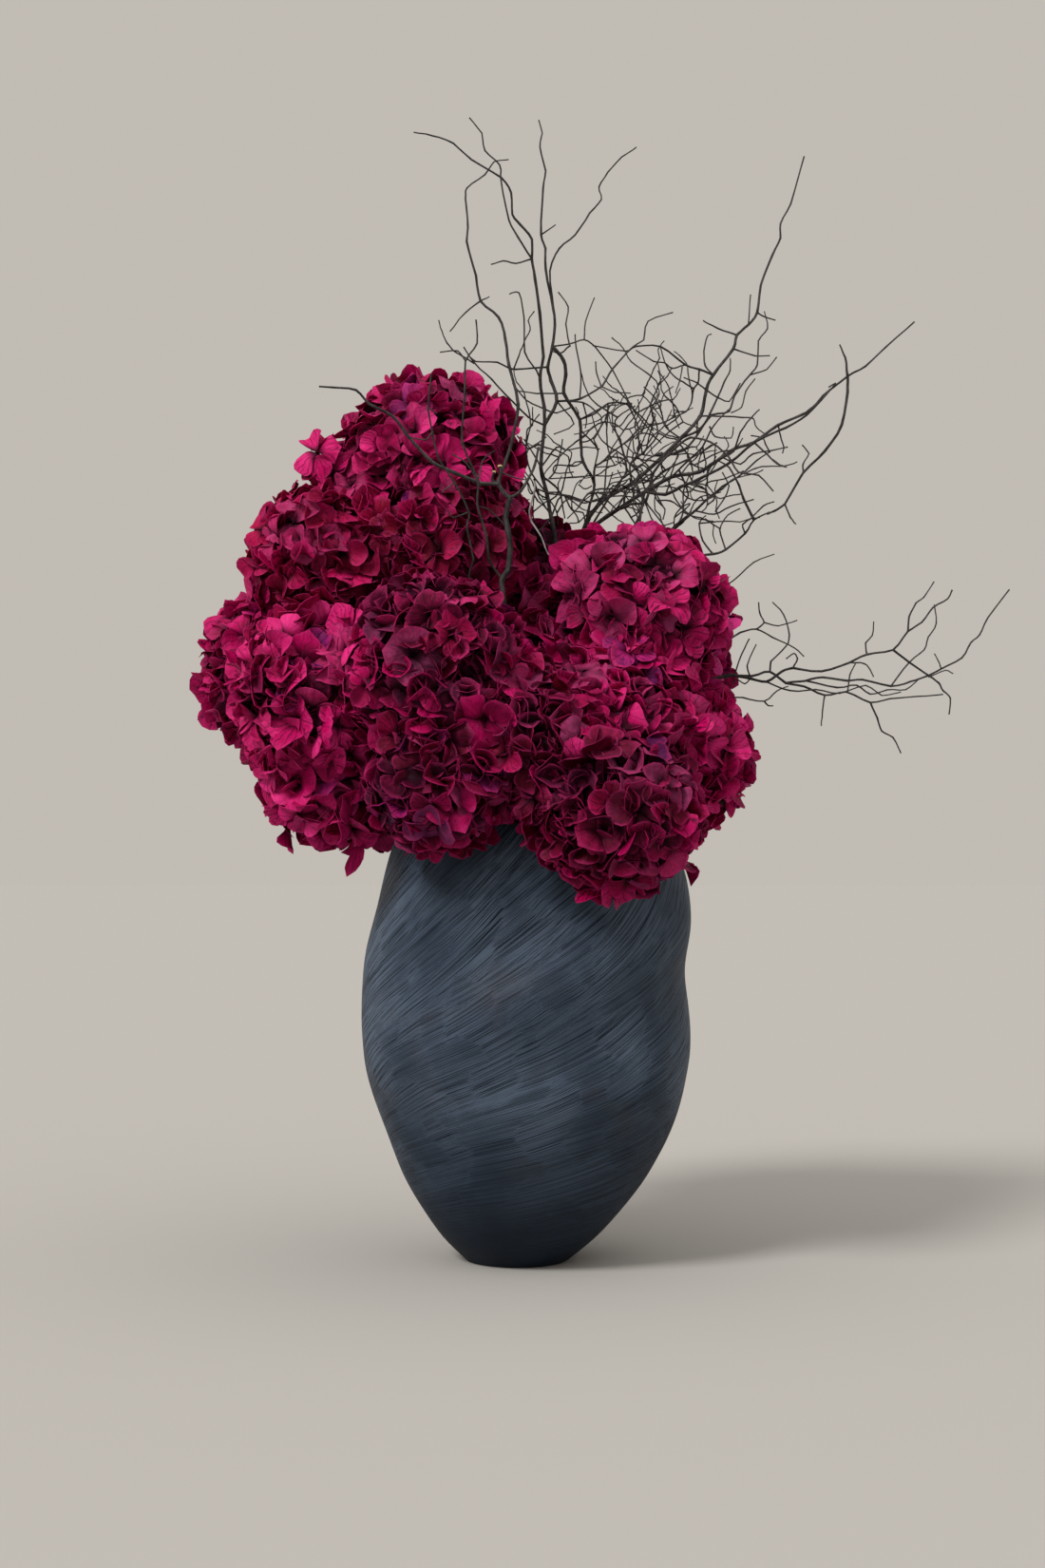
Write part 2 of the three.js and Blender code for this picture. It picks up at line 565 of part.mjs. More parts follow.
// A head's florets face outwards from a core, none of them where the stem enters, beyond a seam
// or in the vase. The seams, the vase and the stems and branches that pass through are cut away.
function bloom(head, index) {
  const [, centreAt, radius] = head;
  const centre = new THREE.Vector3(...centreAt);
  const random = seeded(index * 7919 + 17);
  const seams = seamsOf(index);
  const parts = [solidOf(new THREE.IcosahedronGeometry(radius * CORE_SHARE).translate(...centreAt))];
  const entry = stemRoute(head).at(-2).sub(centre).normalize();
  const count = Math.round(4 * Math.PI * (radius / FLORET_SPACING) ** 2);
  spread(count, random() * 2 * Math.PI).forEach((out, i) => {
    const size = FLORET_RADIUS * (0.9 + 0.2 * random());
    const reach = radius * (FLORET_REACH[i % FLORET_REACH.length] + 0.03 * random());
    const lean = new THREE.Vector3(random() - 0.5, random() - 0.5, random() - 0.5);
    const spin = random() * Math.PI;
    const place = centre.clone().addScaledVector(out, reach);
    const beyondSeam = seams.some(({ normal, out: edge }) => out.dot(normal) * reach > edge + PAST_SEAM);
    if (beyondSeam || out.dot(entry) > BARE_AT_STEM || meetsVase(place)) return;
    const turned = new THREE.Quaternion()
      .setFromUnitVectors(UP, out.addScaledVector(lean, FLORET_LEAN).normalize())
      .multiply(new THREE.Quaternion().setFromAxisAngle(UP, spin));
    const placed = new THREE.Matrix4().compose(place, turned, new THREE.Vector3(size, size, size));
    parts.push(solidOf(floretGeometry.clone().applyMatrix4(placed)));
  });
  let solid = wasm.Manifold.union(parts);
  for (const { normal, out: edge } of seams) {
    const inwards = normal.clone().negate();
    solid = solid.trimByPlane(inwards.toArray(), inwards.dot(centre) - edge);
  }
  return mainBody(solid.subtract(vaseKeepOut).subtract(holes));
}

// ---- The arrangement ----

const arrangement = new THREE.Group();
arrangement.add(meshOf("vase", vase, STONEWARE));
arrangement.add(meshOf("foam", mainBody(foamBlock.subtract(holes)), FOAM));
HEADS.forEach((head, i) => {
  arrangement.add(meshOf(head[0], bloom(head, i), SEPALS));
  arrangement.add(meshOf(head[0].replace("bloom", "stem"), stems[i], STALK));
});
BRANCHES.forEach(({ name }, i) => arrangement.add(meshOf(name, branches[i], BARK)));

export default arrangement;
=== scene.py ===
"""An ikebana arrangement: preserved hydrangea heads and twisted branches in a brushed stoneware vase."""

import logging
import math
import random
from dataclasses import dataclass, field
from enum import Enum
from typing import Any, NamedTuple

import bpy
import numpy as np
from mathutils import Matrix, Quaternion, Vector, noise


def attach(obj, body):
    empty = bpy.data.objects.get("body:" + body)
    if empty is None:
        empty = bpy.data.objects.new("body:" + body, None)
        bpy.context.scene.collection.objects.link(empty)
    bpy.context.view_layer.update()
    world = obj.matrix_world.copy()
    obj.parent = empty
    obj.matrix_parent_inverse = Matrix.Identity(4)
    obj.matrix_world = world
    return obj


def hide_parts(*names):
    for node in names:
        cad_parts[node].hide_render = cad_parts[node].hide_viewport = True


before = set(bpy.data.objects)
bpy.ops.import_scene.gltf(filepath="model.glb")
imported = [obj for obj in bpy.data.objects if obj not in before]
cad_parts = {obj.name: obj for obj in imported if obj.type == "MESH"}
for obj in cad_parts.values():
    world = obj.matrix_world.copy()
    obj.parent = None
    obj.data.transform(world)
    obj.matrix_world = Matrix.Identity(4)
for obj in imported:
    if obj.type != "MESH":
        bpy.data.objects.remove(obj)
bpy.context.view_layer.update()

log = logging.getLogger("ikebana")
logging.basicConfig(level=logging.INFO, format="%(message)s")

MM = 0.001
BODY = "root"

# ---- Driving dimensions, in millimetres ----

# Vase: (height, outer radius) and (height, sideways lean of the axis)
VASE_OUTLINE = [
    (0, 43.6), (1.5, 46), (21, 67.5), (45, 87), (71, 104.5), (98, 118), (124, 129), (151, 137.4),
    (178, 141.6), (204, 143.2), (231, 142.7), (260, 141), (289, 139), (316, 135.5), (345, 130),
    (372, 121), (402, 105),
]
VASE_LEAN = [
    (0, 0), (21, 2), (45, 4.4), (98, 9), (150, 10.4), (204, 5.6), (245, 7.4), (289, 11.5), (316, 13),
    (360, 17), (402, 18),
]
WALL = 8.0
LIP = 4.0
FLOOR = 14.0
RIM = VASE_OUTLINE[-1][0]

# Points nearer than this are one
NEAR = 0.01

# Where the viewer stands; the branches' waypoints are given as seen from there
EYE = Vector((-21, -1910, 348))


# ---- Small helpers ----


def linear(code: str) -> tuple[float, float, float, float]:
    """Turns an sRGB hex colour into a linear RGBA one.

    Args:
        code: The colour as "#rrggbb".

    Returns:
        Red, green, blue and an alpha of 1.
    """
    parts = [int(code[i : i + 2], 16) / 255 for i in (1, 3, 5)]
    r, g, b = (c / 12.92 if c <= 0.04045 else ((c + 0.055) / 1.055) ** 2.4 for c in parts)
    return r, g, b, 1.0


def along(pairs: list[tuple[float, float]], t: float) -> float:
    """Reads a smooth curve through a list of pairs.

    Args:
        pairs: The curve's (position, value) pairs, in order.
        t: The position to read it at.

    Returns:
        The value there.
    """
    last = len(pairs) - 1
    i = min(max(sum(at <= t for at, _ in pairs) - 1, 0), last - 1)

    def slope(k: int) -> float:
        """Returns the curve's slope at its pair k."""
        before, after = pairs[max(k - 1, 0)], pairs[min(k + 1, last)]
        return (after[1] - before[1]) / (after[0] - before[0])

    (t0, v0), (t1, v1) = pairs[i], pairs[i + 1]
    width = t1 - t0
    u = (t - t0) / width
    rest = 1 - u
    return (
        v0 * rest * rest * (1 + 2 * u)
        + v1 * u * u * (3 - 2 * u)
        + width * u * rest * (slope(i) * rest - slope(i + 1) * u)
    )


def chance(rng: random.Random, size: float) -> Vector:
    """Returns a chance vector of about that size in each direction."""
    return Vector((rng.gauss(0, 1), rng.gauss(0, 1), rng.gauss(0, 1))) * size


def smooth_step(value: float, low: float, high: float) -> float:
    """Returns 0 up to low, 1 from high, and a smooth rise between them."""
    share = min(max((value - low) / (high - low), 0), 1)
    return share * share * (3 - 2 * share)


def add_node(
    tree: bpy.types.NodeTree, kind: str, settings: dict[str, Any], inputs: dict[Any, Any]
) -> bpy.types.Node:
    """Adds one node to a material, with its settings and links.

    Args:
        tree: The material's node tree.
        kind: The node's type name, after "ShaderNode".
        settings: The node's own properties.
        inputs: A value, or the socket to link from, for each input by name or number.

    Returns:
        The new node.
    """
    node = tree.nodes.new("ShaderNode" + kind)
    for name, value in settings.items():
        setattr(node, name, value)
    for name, value in inputs.items():
        if isinstance(value, bpy.types.NodeSocket):
            tree.links.new(value, node.inputs[name])
        else:
            node.inputs[name].default_value = value
    return node


def set_stops(ramp: bpy.types.Node, stops: list[tuple[float, str]]) -> None:
    """Sets a colour ramp's stops.

    Args:
        ramp: The ramp's node, as new.
        stops: Each stop's place and colour.
    """
    elements = ramp.color_ramp.elements
    for element, (at, code) in zip(elements, (stops[0], stops[-1])):
        element.position = at
        element.color = linear(code)
    for at, code in stops[1:-1]:
        elements.new(at).color = linear(code)


def deselect() -> None:
    """Leaves nothing selected."""
    for thing in bpy.context.selected_objects:
        thing.select_set(False)


def activate(thing: bpy.types.Object) -> None:
    """Makes an object the only selected one, and the active one.

    Args:
        thing: The object.
    """
    deselect()
    thing.select_set(True)
    bpy.context.view_layer.objects.active = thing


def apply_modifier(thing: bpy.types.Object, kind: str, **settings: Any) -> None:
    """Adds a modifier to an object and applies it.

    Args:
        thing: The object, a mesh.
        kind: The modifier's type.
        settings: The modifier's own properties.
    """
    activate(thing)
    modifier = thing.modifiers.new(kind.title(), kind)
    for name, value in settings.items():
        setattr(modifier, name, value)
    bpy.ops.object.modifier_apply(modifier=modifier.name)


def link(thing: bpy.types.Object) -> None:
    """Puts an object into the scene."""
    bpy.context.scene.collection.objects.link(thing)


def merge(thing: bpy.types.Object, distance: float) -> None:
    """Makes one of all points of a mesh that lie nearer than a distance.

    Args:
        thing: The object.
        distance: The distance.
    """
    activate(thing)
    bpy.ops.object.mode_set(mode="EDIT")
    bpy.ops.mesh.select_all(action="SELECT")
    bpy.ops.mesh.remove_doubles(threshold=distance * MM)
    bpy.ops.object.mode_set(mode="OBJECT")


def smooth_below(thing: bpy.types.Object, crease: float) -> None:
    """Shades an object smooth, but for its edges sharper than a crease.

    Args:
        thing: The object.
        crease: The least angle of a sharp edge, in degrees.
    """
    activate(thing)
    bpy.ops.object.shade_smooth_by_angle(angle=math.radians(crease))


def join(things: list[bpy.types.Object], name: str) -> bpy.types.Object:
    """Joins objects into the first of them.

    Args:
        things: The objects, all meshes.
        name: The joined object's name.

    Returns:
        The joined object.
    """
    deselect()
    for thing in things:
        thing.select_set(True)
    bpy.context.view_layer.objects.active = things[0]
    bpy.ops.object.join()
    things[0].name = name
    return things[0]


def mount(thing: bpy.types.Object, finish: "Finish", nodes: list[str]) -> bpy.types.Object:
    """Finishes a piece: its material, what it rides on and the node that it stands for.

    Args:
        thing: The piece.
        finish: Its finish.
        nodes: The nodes that it replaces, if any.

    Returns:
        The piece.
    """
    thing.data.materials.clear()
    thing.data.materials.append(finish.material())
    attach(thing, BODY)
    if nodes:
        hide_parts(*nodes)
    log.info("%s: %d faces", thing.name, len(thing.data.polygons))
    return thing


# ---- Finishes ----

# Settings that many nodes share
SMOOTH = {"interpolation_type": "SMOOTHSTEP"}
COLOURS = {"data_type": "RGBA"}
TIMES = {"operation": "MULTIPLY"}
TIMES_PLUS = {"operation": "MULTIPLY_ADD"}
LESS = {"operation": "SUBTRACT"}
GREATER = {"operation": "MAXIMUM"}
ANGLE = {"operation": "ARCTAN2"}


@dataclass(frozen=True)
class Finish:
    """What every finish has: a name, and the record's slot that it belongs to."""

    name: str
    slot: str

    def material(self) -> bpy.types.Material:
        """Returns the finish's material, made on its first use."""
        found = bpy.data.materials.get(self.name)
        if found:
            return found
        made = bpy.data.materials.new(self.name)
        made.use_nodes = True
        tree = made.node_tree
        tree.nodes.clear()
        shader = self.shade(tree)
        add_node(tree, "OutputMaterial", {}, {"Surface": shader.outputs[0]})
        return made

    def shade(self, tree: bpy.types.NodeTree) -> bpy.types.Node:
        """Adds the finish's nodes.

        Args:
            tree: The material's node tree.

        Returns:
            The shader at their end.
        """
        raise NotImplementedError


@dataclass(frozen=True)
class RakedSlip(Finish):
    """Slate-blue slip on stoneware, raked on the slant while soft: dull, with fine scored lines."""

    # Painted shade in the scored grooves, the slip's own colour, and a painted highlight on the ridges
    # between them
    groove_shade: str = "#101924"
    body: str = "#2f3c4c"
    crest_highlight: str = "#586679"
    # The colour that the painted shade near the foot multiplies the slip by
    foot: str = "#587287"
    earth: str = "#453f40"
    cloud: str = "#b4bac1"
    line_width: float = 1.7
    line_length: float = 75.0
    line_depth: float = 0.5
    # Widths of the fine, the middling and the broad lines, against line_width
    widths: tuple[float, float, float] = (0.6, 1.2, 5.0)
    # How far the rake runs round, in radians: per natural logarithm of the height, and per metre of it
    runs_round: tuple[float, float] = (3.4, -1.5)
    second_pass: float = 0.78
    sway: float = 0.1
    patch: float = 85.0
    grain: float = 0.9
    bare_foot: tuple[float, float] = (15.0, 90.0)
    # Up to this height the slip is darkened as painted shade
    foot_shade_to: float = 190.0
    lowest: float = 3.0
    girth: float = 140.0
    axis: float = 10.0

    def rake(
        self, tree: bpy.types.NodeTree, place: bpy.types.NodeSocket, slant: float
    ) -> list[bpy.types.NodeSocket]:
        """Rolls the slip out along its raked lines.

        Args:
            tree: The material's node tree.
            place: Where on the vase.
            slant: How far the lines run round for their climb, against the first pass of the rake.

        Returns:
            Three noises drawn out along the lines: fine, middling and broad.
        """
        axes = add_node(tree, "SeparateXYZ", {}, {"Vector": place})
        leaned = add_node(tree, "Math", LESS, {0: axes.outputs["X"], 1: self.axis * MM})
        angle = add_node(tree, "Math", ANGLE, {0: axes.outputs["Y"], 1: leaned.outputs[0]})
        # The rake climbs shallowly at the foot and steeply near the mouth.
        by_log, by_height = self.runs_round
        height = add_node(tree, "Math", GREATER, {0: axes.outputs["Z"], 1: self.lowest * MM})
        log_height = add_node(tree, "Math", {"operation": "LOGARITHM"}, {0: height.outputs[0], 1: math.e})
        low = add_node(tree, "Math", TIMES, {0: log_height.outputs[0], 1: by_log * slant})
        turn = add_node(
            tree, "Math", TIMES_PLUS, {0: height.outputs[0], 1: by_height * slant, 2: low.outputs[0]}
        )
        sway = add_node(
            tree, "TexNoise", {}, {"Vector": place, "Scale": 1 / (1.5 * self.patch * MM), "Detail": 0.5}
        )
        swayed = add_node(
            tree, "Math", TIMES_PLUS, {0: sway.outputs["Fac"], 1: self.sway, 2: turn.outputs[0]}
        )
        start = add_node(tree, "Math", LESS, {0: angle.outputs[0], 1: swayed.outputs[0]})
        across = add_node(tree, "Math", {"operation": "COSINE"}, {0: start.outputs[0]})
        deep = add_node(tree, "Math", {"operation": "SINE"}, {0: start.outputs[0]})
        squeeze = self.line_width / self.line_length / (self.girth * MM)
        along_line = add_node(tree, "Math", TIMES, {0: axes.outputs["Z"], 1: squeeze})
        rolled = add_node(
            tree, "CombineXYZ", {},
            {"X": across.outputs[0], "Y": deep.outputs[0], "Z": along_line.outputs[0]},
        )
        return [
            add_node(
                tree, "TexNoise", {},
                {"Vector": rolled.outputs[0], "Scale": self.girth / (self.line_width * share),
                 "Detail": 2.0, "Roughness": 0.55},
            ).outputs["Fac"]
            for share in self.widths
        ]

    def shade(self, tree: bpy.types.NodeTree) -> bpy.types.Node:
        """Adds the slip's nodes.

        Args:
            tree: The material's node tree.

        Returns:
            The shader at their end.
        """
        place = add_node(tree, "TexCoord", {}, {}).outputs["Object"]
        axes = add_node(tree, "SeparateXYZ", {}, {"Vector": place})
        first = self.rake(tree, place, 1.0)
        second = self.rake(tree, place, self.second_pass)
        patches = add_node(
            tree, "TexNoise", {}, {"Vector": place, "Scale": 1 / (self.patch * MM), "Detail": 3.0}
        ).outputs["Fac"]
        crossing = add_node(
            tree, "TexNoise", {}, {"Vector": place, "Scale": 1 / (0.5 * self.patch * MM), "Detail": 1.0}
        )
        passes = add_node(
            tree, "MapRange", SMOOTH, {"Value": crossing.outputs["Fac"], "From Min": 0.44, "From Max": 0.56}
        )
        fine, middling, broad = (
            add_node(tree, "Mix", {"data_type": "FLOAT"}, {0: passes.outputs[0], 2: one, 3: two}).outputs[0]
            for one, two in zip(first, second)
        )
        # The rake bites in patches, and hardly at all near the foot.
        bite = add_node(
            tree, "MapRange", SMOOTH,
            {"Value": patches, "From Min": 0.34, "From Max": 0.6, "To Min": 0.55, "To Max": 1.0},
        )
        low, high = self.bare_foot
        above_foot = add_node(
            tree, "MapRange", SMOOTH,
            {"Value": axes.outputs["Z"], "From Min": low * MM, "From Max": high * MM, "To Min": 0.3},
        )
        strength = add_node(tree, "Math", TIMES, {0: bite.outputs[0], 1: above_foot.outputs[0]})
        scored = add_node(tree, "MapRange", SMOOTH, {"Value": fine, "From Min": 0.37, "From Max": 0.48})
        combed = add_node(
            tree, "MapRange", SMOOTH,
            {"Value": middling, "From Min": 0.36, "From Max": 0.68, "To Min": 0.76, "To Max": 1.0},
        )
        relief = add_node(tree, "Math", TIMES, {0: scored.outputs[0], 1: combed.outputs[0]})
        flat = add_node(
            tree, "Mix", {"data_type": "FLOAT"}, {0: strength.outputs[0], 2: 0.5, 3: relief.outputs[0]}
        )
        swept = add_node(tree, "Math", TIMES_PLUS, {0: broad, 1: 0.08, 2: flat.outputs[0]})
        level = add_node(tree, "Math", LESS, {0: swept.outputs[0], 1: 0.06})
        # The scored lines' tone is painted light, following the bump's relief: darker in the grooves as
        # painted shade, paler on the ridges as a painted highlight.
        tone = add_node(tree, "ValToRGB", {}, {"Fac": level.outputs[0]})
        set_stops(tone, [(0.0, self.groove_shade), (0.45, self.body), (1.0, self.crest_highlight)])
        # Broad clouds of darker slip
        cloud = add_node(tree, "ValToRGB", {}, {"Fac": patches})
        set_stops(cloud, [(0.3, self.cloud), (0.68, "#ffffff")])
        clouded = add_node(
            tree, "Mix", {"data_type": "RGBA", "blend_type": "MULTIPLY"},
            {0: 0.9, 6: tone.outputs["Color"], 7: cloud.outputs["Color"]},
        )
        # The clay's own brown shows faintly where the slip is thin.
        thin = add_node(
            tree, "TexNoise", {}, {"Vector": place, "Scale": 1 / (0.7 * self.patch * MM), "Detail": 4.0}
        )
        bare = add_node(
            tree, "MapRange", SMOOTH,
            {"Value": thin.outputs["Fac"], "From Min": 0.54, "From Max": 0.74, "To Max": 0.25},
        )
        warmed = add_node(
            tree, "Mix", COLOURS, {0: bare.outputs[0], 6: clouded.outputs[2], 7: linear(self.earth)}
        )
        # Painted shade: the slip is darkened towards the foot, where less light falls.
        foot_shade = add_node(
            tree, "MapRange", SMOOTH,
            {"Value": axes.outputs["Z"], "From Max": self.foot_shade_to * MM, "To Min": 0.85, "To Max": 0.0},
        )
        slip = add_node(
            tree, "Mix", {"data_type": "RGBA", "blend_type": "MULTIPLY"},
            {0: foot_shade.outputs[0], 6: warmed.outputs[2], 7: linear(self.foot)},
        )
        grain = add_node(
            tree, "TexNoise", {}, {"Vector": place, "Scale": 1 / (self.grain * MM), "Detail": 2.0}
        )
        raised = add_node(tree, "Math", TIMES_PLUS, {0: grain.outputs["Fac"], 1: 0.15, 2: flat.outputs[0]})
        bump = add_node(
            tree, "Bump", {},
            {"Height": raised.outputs[0], "Distance": self.line_depth * MM, "Strength": 0.9},
        )
        # The scored grooves are rougher than what stands between them.
        dull = add_node(tree, "MapRange", {}, {"Value": flat.outputs[0], "To Min": 0.66, "To Max": 0.5})
        return add_node(
            tree, "BsdfPrincipled", {},
            {"Base Color": slip.outputs[2], "Roughness": dull.outputs[0], "Normal": bump.outputs["Normal"],
             "IOR": 1.5, "Specular IOR Level": 0.12},
        )


@dataclass(frozen=True)
class FloralFoam(Finish):
    """Dry phenolic floral foam: crumbly, open-celled and quite matte."""

    pale: str = "#7d7a58"
    dark: str = "#4b4936"
    cell: float = 0.9
    pit: float = 0.6

    def shade(self, tree: bpy.types.NodeTree) -> bpy.types.Node:
        """Adds the foam's nodes.

        Args:
            tree: The material's node tree.

        Returns:
            The shader at their end.
        """
        place = add_node(tree, "TexCoord", {}, {}).outputs["Object"]
        cells = add_node(tree, "TexVoronoi", {}, {"Vector": place, "Scale": 1 / (self.cell * MM)})
        tone = add_node(tree, "ValToRGB", {}, {"Fac": cells.outputs["Distance"]})
        set_stops(tone, [(0.0, self.dark), (1.0, self.pale)])
        bump = add_node(tree, "Bump", {}, {"Height": cells.outputs["Distance"], "Distance": self.pit * MM})
        return add_node(
            tree, "BsdfPrincipled", {},
            {"Base Color": tone.outputs["Color"], "Roughness": 0.95, "Normal": bump.outputs["Normal"]},
        )


@dataclass(frozen=True)
class PreservedSepal(Finish):
    """Glycerine-preserved hydrangea sepals, dyed crimson: soft, thin and satiny, with netted veins."""

    # The darkest dye, into which the painted shade at the sepals' feet and deep in the heads also runs
    darkest_dye_and_shade: str = "#16020a"
    deep: str = "#44031e"
    burgundy: str = "#7d053a"
    magenta: str = "#ae0857"
    pink: str = "#d82e7e"
    plum: str = "#8a2a80"
    crimson: str = "#92032a"
    vein: str = "#260313"
    faded: str = "#a84478"
    rim_highlight: str = "#b42c6c"
    # The veins: how closely they fan, and how far behind the sepal's foot they meet
    fan: float = 20.0
    fan_foot: float = 0.14
    blotch: float = 9.0
    crinkle: float = 3.2
    relief: float = 0.9

    def veins(
        self,
        tree: bpy.types.NodeTree,
        u: bpy.types.NodeSocket,
        v: bpy.types.NodeSocket,
        waver: bpy.types.NodeSocket,
    ) -> bpy.types.NodeSocket:
        """Draws veins that fan out from the sepal's foot and part again halfway.

        Args:
            tree: The material's node tree.
            u: Where across the sepal.
            v: Where along it.
            waver: What bends the veins.

        Returns:
            1 on a vein, and 0 between them.
        """
        side = add_node(tree, "Math", LESS, {0: u, 1: 0.5})
        reach = add_node(tree, "Math", {"operation": "ADD"}, {0: v, 1: self.fan_foot})
        turn = add_node(tree, "Math", ANGLE, {0: side.outputs[0], 1: reach.outputs[0]})
        bent = add_node(tree, "Math", TIMES_PLUS, {0: waver, 1: 0.5, 2: turn.outputs[0]})
        lines = []
        for share in (1.0, 2.0):
            spread = add_node(tree, "Math", TIMES, {0: bent.outputs[0], 1: self.fan * share})
            wave = add_node(tree, "Math", {"operation": "SINE"}, {0: spread.outputs[0]})
            line = add_node(
                tree, "MapRange", SMOOTH, {"Value": wave.outputs[0], "From Min": 0.7, "From Max": 1.0}
            )
            lines.append(line.outputs[0])
        outer = add_node(
            tree, "MapRange", SMOOTH, {"Value": v, "From Min": 0.35, "From Max": 0.65, "To Max": 0.7}
        )
        parted = add_node(tree, "Math", TIMES, {0: lines[1], 1: outer.outputs[0]})
        drawn = add_node(tree, "Math", GREATER, {0: lines[0], 1: parted.outputs[0]})
        return drawn.outputs[0]

    def shade(self, tree: bpy.types.NodeTree) -> bpy.types.Node:
        """Adds the sepals' nodes.

        Args:
            tree: The material's node tree.

        Returns:
            The shader at their end.
        """
        tint = add_node(tree, "Attribute", {"attribute_name": "tint"}, {})
        tints = add_node(tree, "SeparateXYZ", {}, {"Vector": tint.outputs["Vector"]})
        dust = add_node(tree, "Attribute", {"attribute_name": "dust"}, {}).outputs["Fac"]
        chart = add_node(tree, "UVMap", {"uv_map": "UVMap"}, {})
        flat = add_node(tree, "SeparateXYZ", {}, {"Vector": chart.outputs["UV"]})
        place = add_node(tree, "TexCoord", {}, {}).outputs["Object"]
        blotch = add_node(
            tree, "TexNoise", {}, {"Vector": place, "Scale": 1 / (self.blotch * MM), "Detail": 3.0}
        ).outputs["Fac"]
        hue = add_node(tree, "Math", TIMES_PLUS, {0: blotch, 1: 0.4, 2: tints.outputs["X"]})
        tone = add_node(tree, "ValToRGB", {}, {"Fac": hue.outputs[0]})
        dyes = (self.darkest_dye_and_shade, self.deep, self.burgundy, self.magenta, self.pink)
        set_stops(tone, list(zip((0.1, 0.3, 0.5, 0.75, 1.0), dyes)))
        # Below 0 the third tint is how far the dye has turned plum, and above 0 how far crimson.
        plum_share = add_node(
            tree, "Math", {"operation": "MULTIPLY", "use_clamp": True}, {0: tints.outputs["Z"], 1: -1.0}
        )
        plums = add_node(
            tree, "Mix", COLOURS, {0: plum_share.outputs[0], 6: tone.outputs["Color"], 7: linear(self.plum)}
        )
        reds = add_node(
            tree, "Mix", COLOURS, {0: tints.outputs["Z"], 6: plums.outputs[2], 7: linear(self.crimson)}
        )
        line = self.veins(tree, flat.outputs["X"], flat.outputs["Y"], blotch)
        drawn = add_node(tree, "Math", TIMES, {0: line, 1: tints.outputs["Y"]})
        veined = add_node(
            tree, "Mix", COLOURS, {0: drawn.outputs[0], 6: reds.outputs[2], 7: linear(self.vein)}
        )
        # Backs and old sepals have faded to a dusty pink.
        patchy = add_node(
            tree, "MapRange", SMOOTH,
            {"Value": blotch, "From Min": 0.3, "From Max": 0.7, "To Min": 0.4, "To Max": 1.0},
        )
        fade = add_node(tree, "Math", TIMES, {0: dust, 1: patchy.outputs[0]})
        dusty = add_node(
            tree, "Mix", COLOURS, {0: fade.outputs[0], 6: veined.outputs[2], 7: linear(self.faded)}
        )
        # The rim is paler: partly the sepal's own dried edge, and partly a painted highlight where the edges
        # catch the light.
        middle = add_node(tree, "Math", LESS, {0: flat.outputs["X"], 1: 0.5})
        aside = add_node(tree, "Math", {"operation": "ABSOLUTE"}, {0: middle.outputs[0]})
        sides = add_node(tree, "Math", TIMES, {0: aside.outputs[0], 1: 2.0})
        outermost = add_node(tree, "Math", GREATER, {0: sides.outputs[0], 1: flat.outputs["Y"]})
        edge = add_node(
            tree, "MapRange", SMOOTH,
            {"Value": outermost.outputs[0], "From Min": 0.8, "From Max": 1.0, "To Max": 0.34},
        )
        rim_lit = add_node(
            tree, "Mix", COLOURS, {0: edge.outputs[0], 6: dusty.outputs[2], 7: linear(self.rim_highlight)}
        )
        # The sepal's foot, deep in the floret, is darkened nearly to black: partly its own darker claw, and
        # partly painted shade.
        heart = add_node(
            tree, "MapRange", SMOOTH,
            {"Value": flat.outputs["Y"], "From Max": 0.5, "To Min": 0.97, "To Max": 0.0},
        )
        heart_shaded = add_node(
            tree, "Mix", COLOURS, {0: heart.outputs[0], 6: rim_lit.outputs[2], 7: linear(self.darkest_dye_and_shade)}
        )
        crinkle = add_node(
            tree, "TexNoise", {}, {"Vector": place, "Scale": 1 / (self.crinkle * MM), "Detail": 1.0}
        )
        relief = add_node(tree, "Math", TIMES_PLUS, {0: line, 1: -0.5, 2: crinkle.outputs["Fac"]})
        bump = add_node(
            tree, "Bump", {}, {"Height": relief.outputs[0], "Distance": self.relief * MM, "Strength": 0.5}
        )
        return add_node(
            tree, "BsdfPrincipled", {},
            {"Base Color": heart_shaded.outputs[2], "Roughness": 0.5, "Normal": bump.outputs["Normal"],
             "IOR": 1.4, "Specular IOR Level": 0.05},
        )


@dataclass(frozen=True)
class FlowerCore(Finish):
    """The tangle of dyed flower stalks behind the florets, coloured near-black as painted shade for the deep
    shade that they lie in.
    """

    dark: str = "#0d0106"
    warm: str = "#2a0413"
    stalk: float = 4.0
    relief: float = 2.0

    def shade(self, tree: bpy.types.NodeTree) -> bpy.types.Node:
        """Adds the core's nodes.

        Args:
            tree: The material's node tree.

        Returns:
            The shader at their end.
        """
        place = add_node(tree, "TexCoord", {}, {}).outputs["Object"]
        stalks = add_node(
            tree, "TexNoise", {}, {"Vector": place, "Scale": 1 / (self.stalk * MM), "Detail": 4.0}
        )
        tone = add_node(tree, "ValToRGB", {}, {"Fac": stalks.outputs["Fac"]})
        set_stops(tone, [(0.35, self.dark), (0.75, self.warm)])
        bump = add_node(tree, "Bump", {}, {"Height": stalks.outputs["Fac"], "Distance": self.relief * MM})
        return add_node(
            tree, "BsdfPrincipled", {},
            {"Base Color": tone.outputs["Color"], "Roughness": 0.9, "Normal": bump.outputs["Normal"],
             "Specular IOR Level": 0.1},
        )


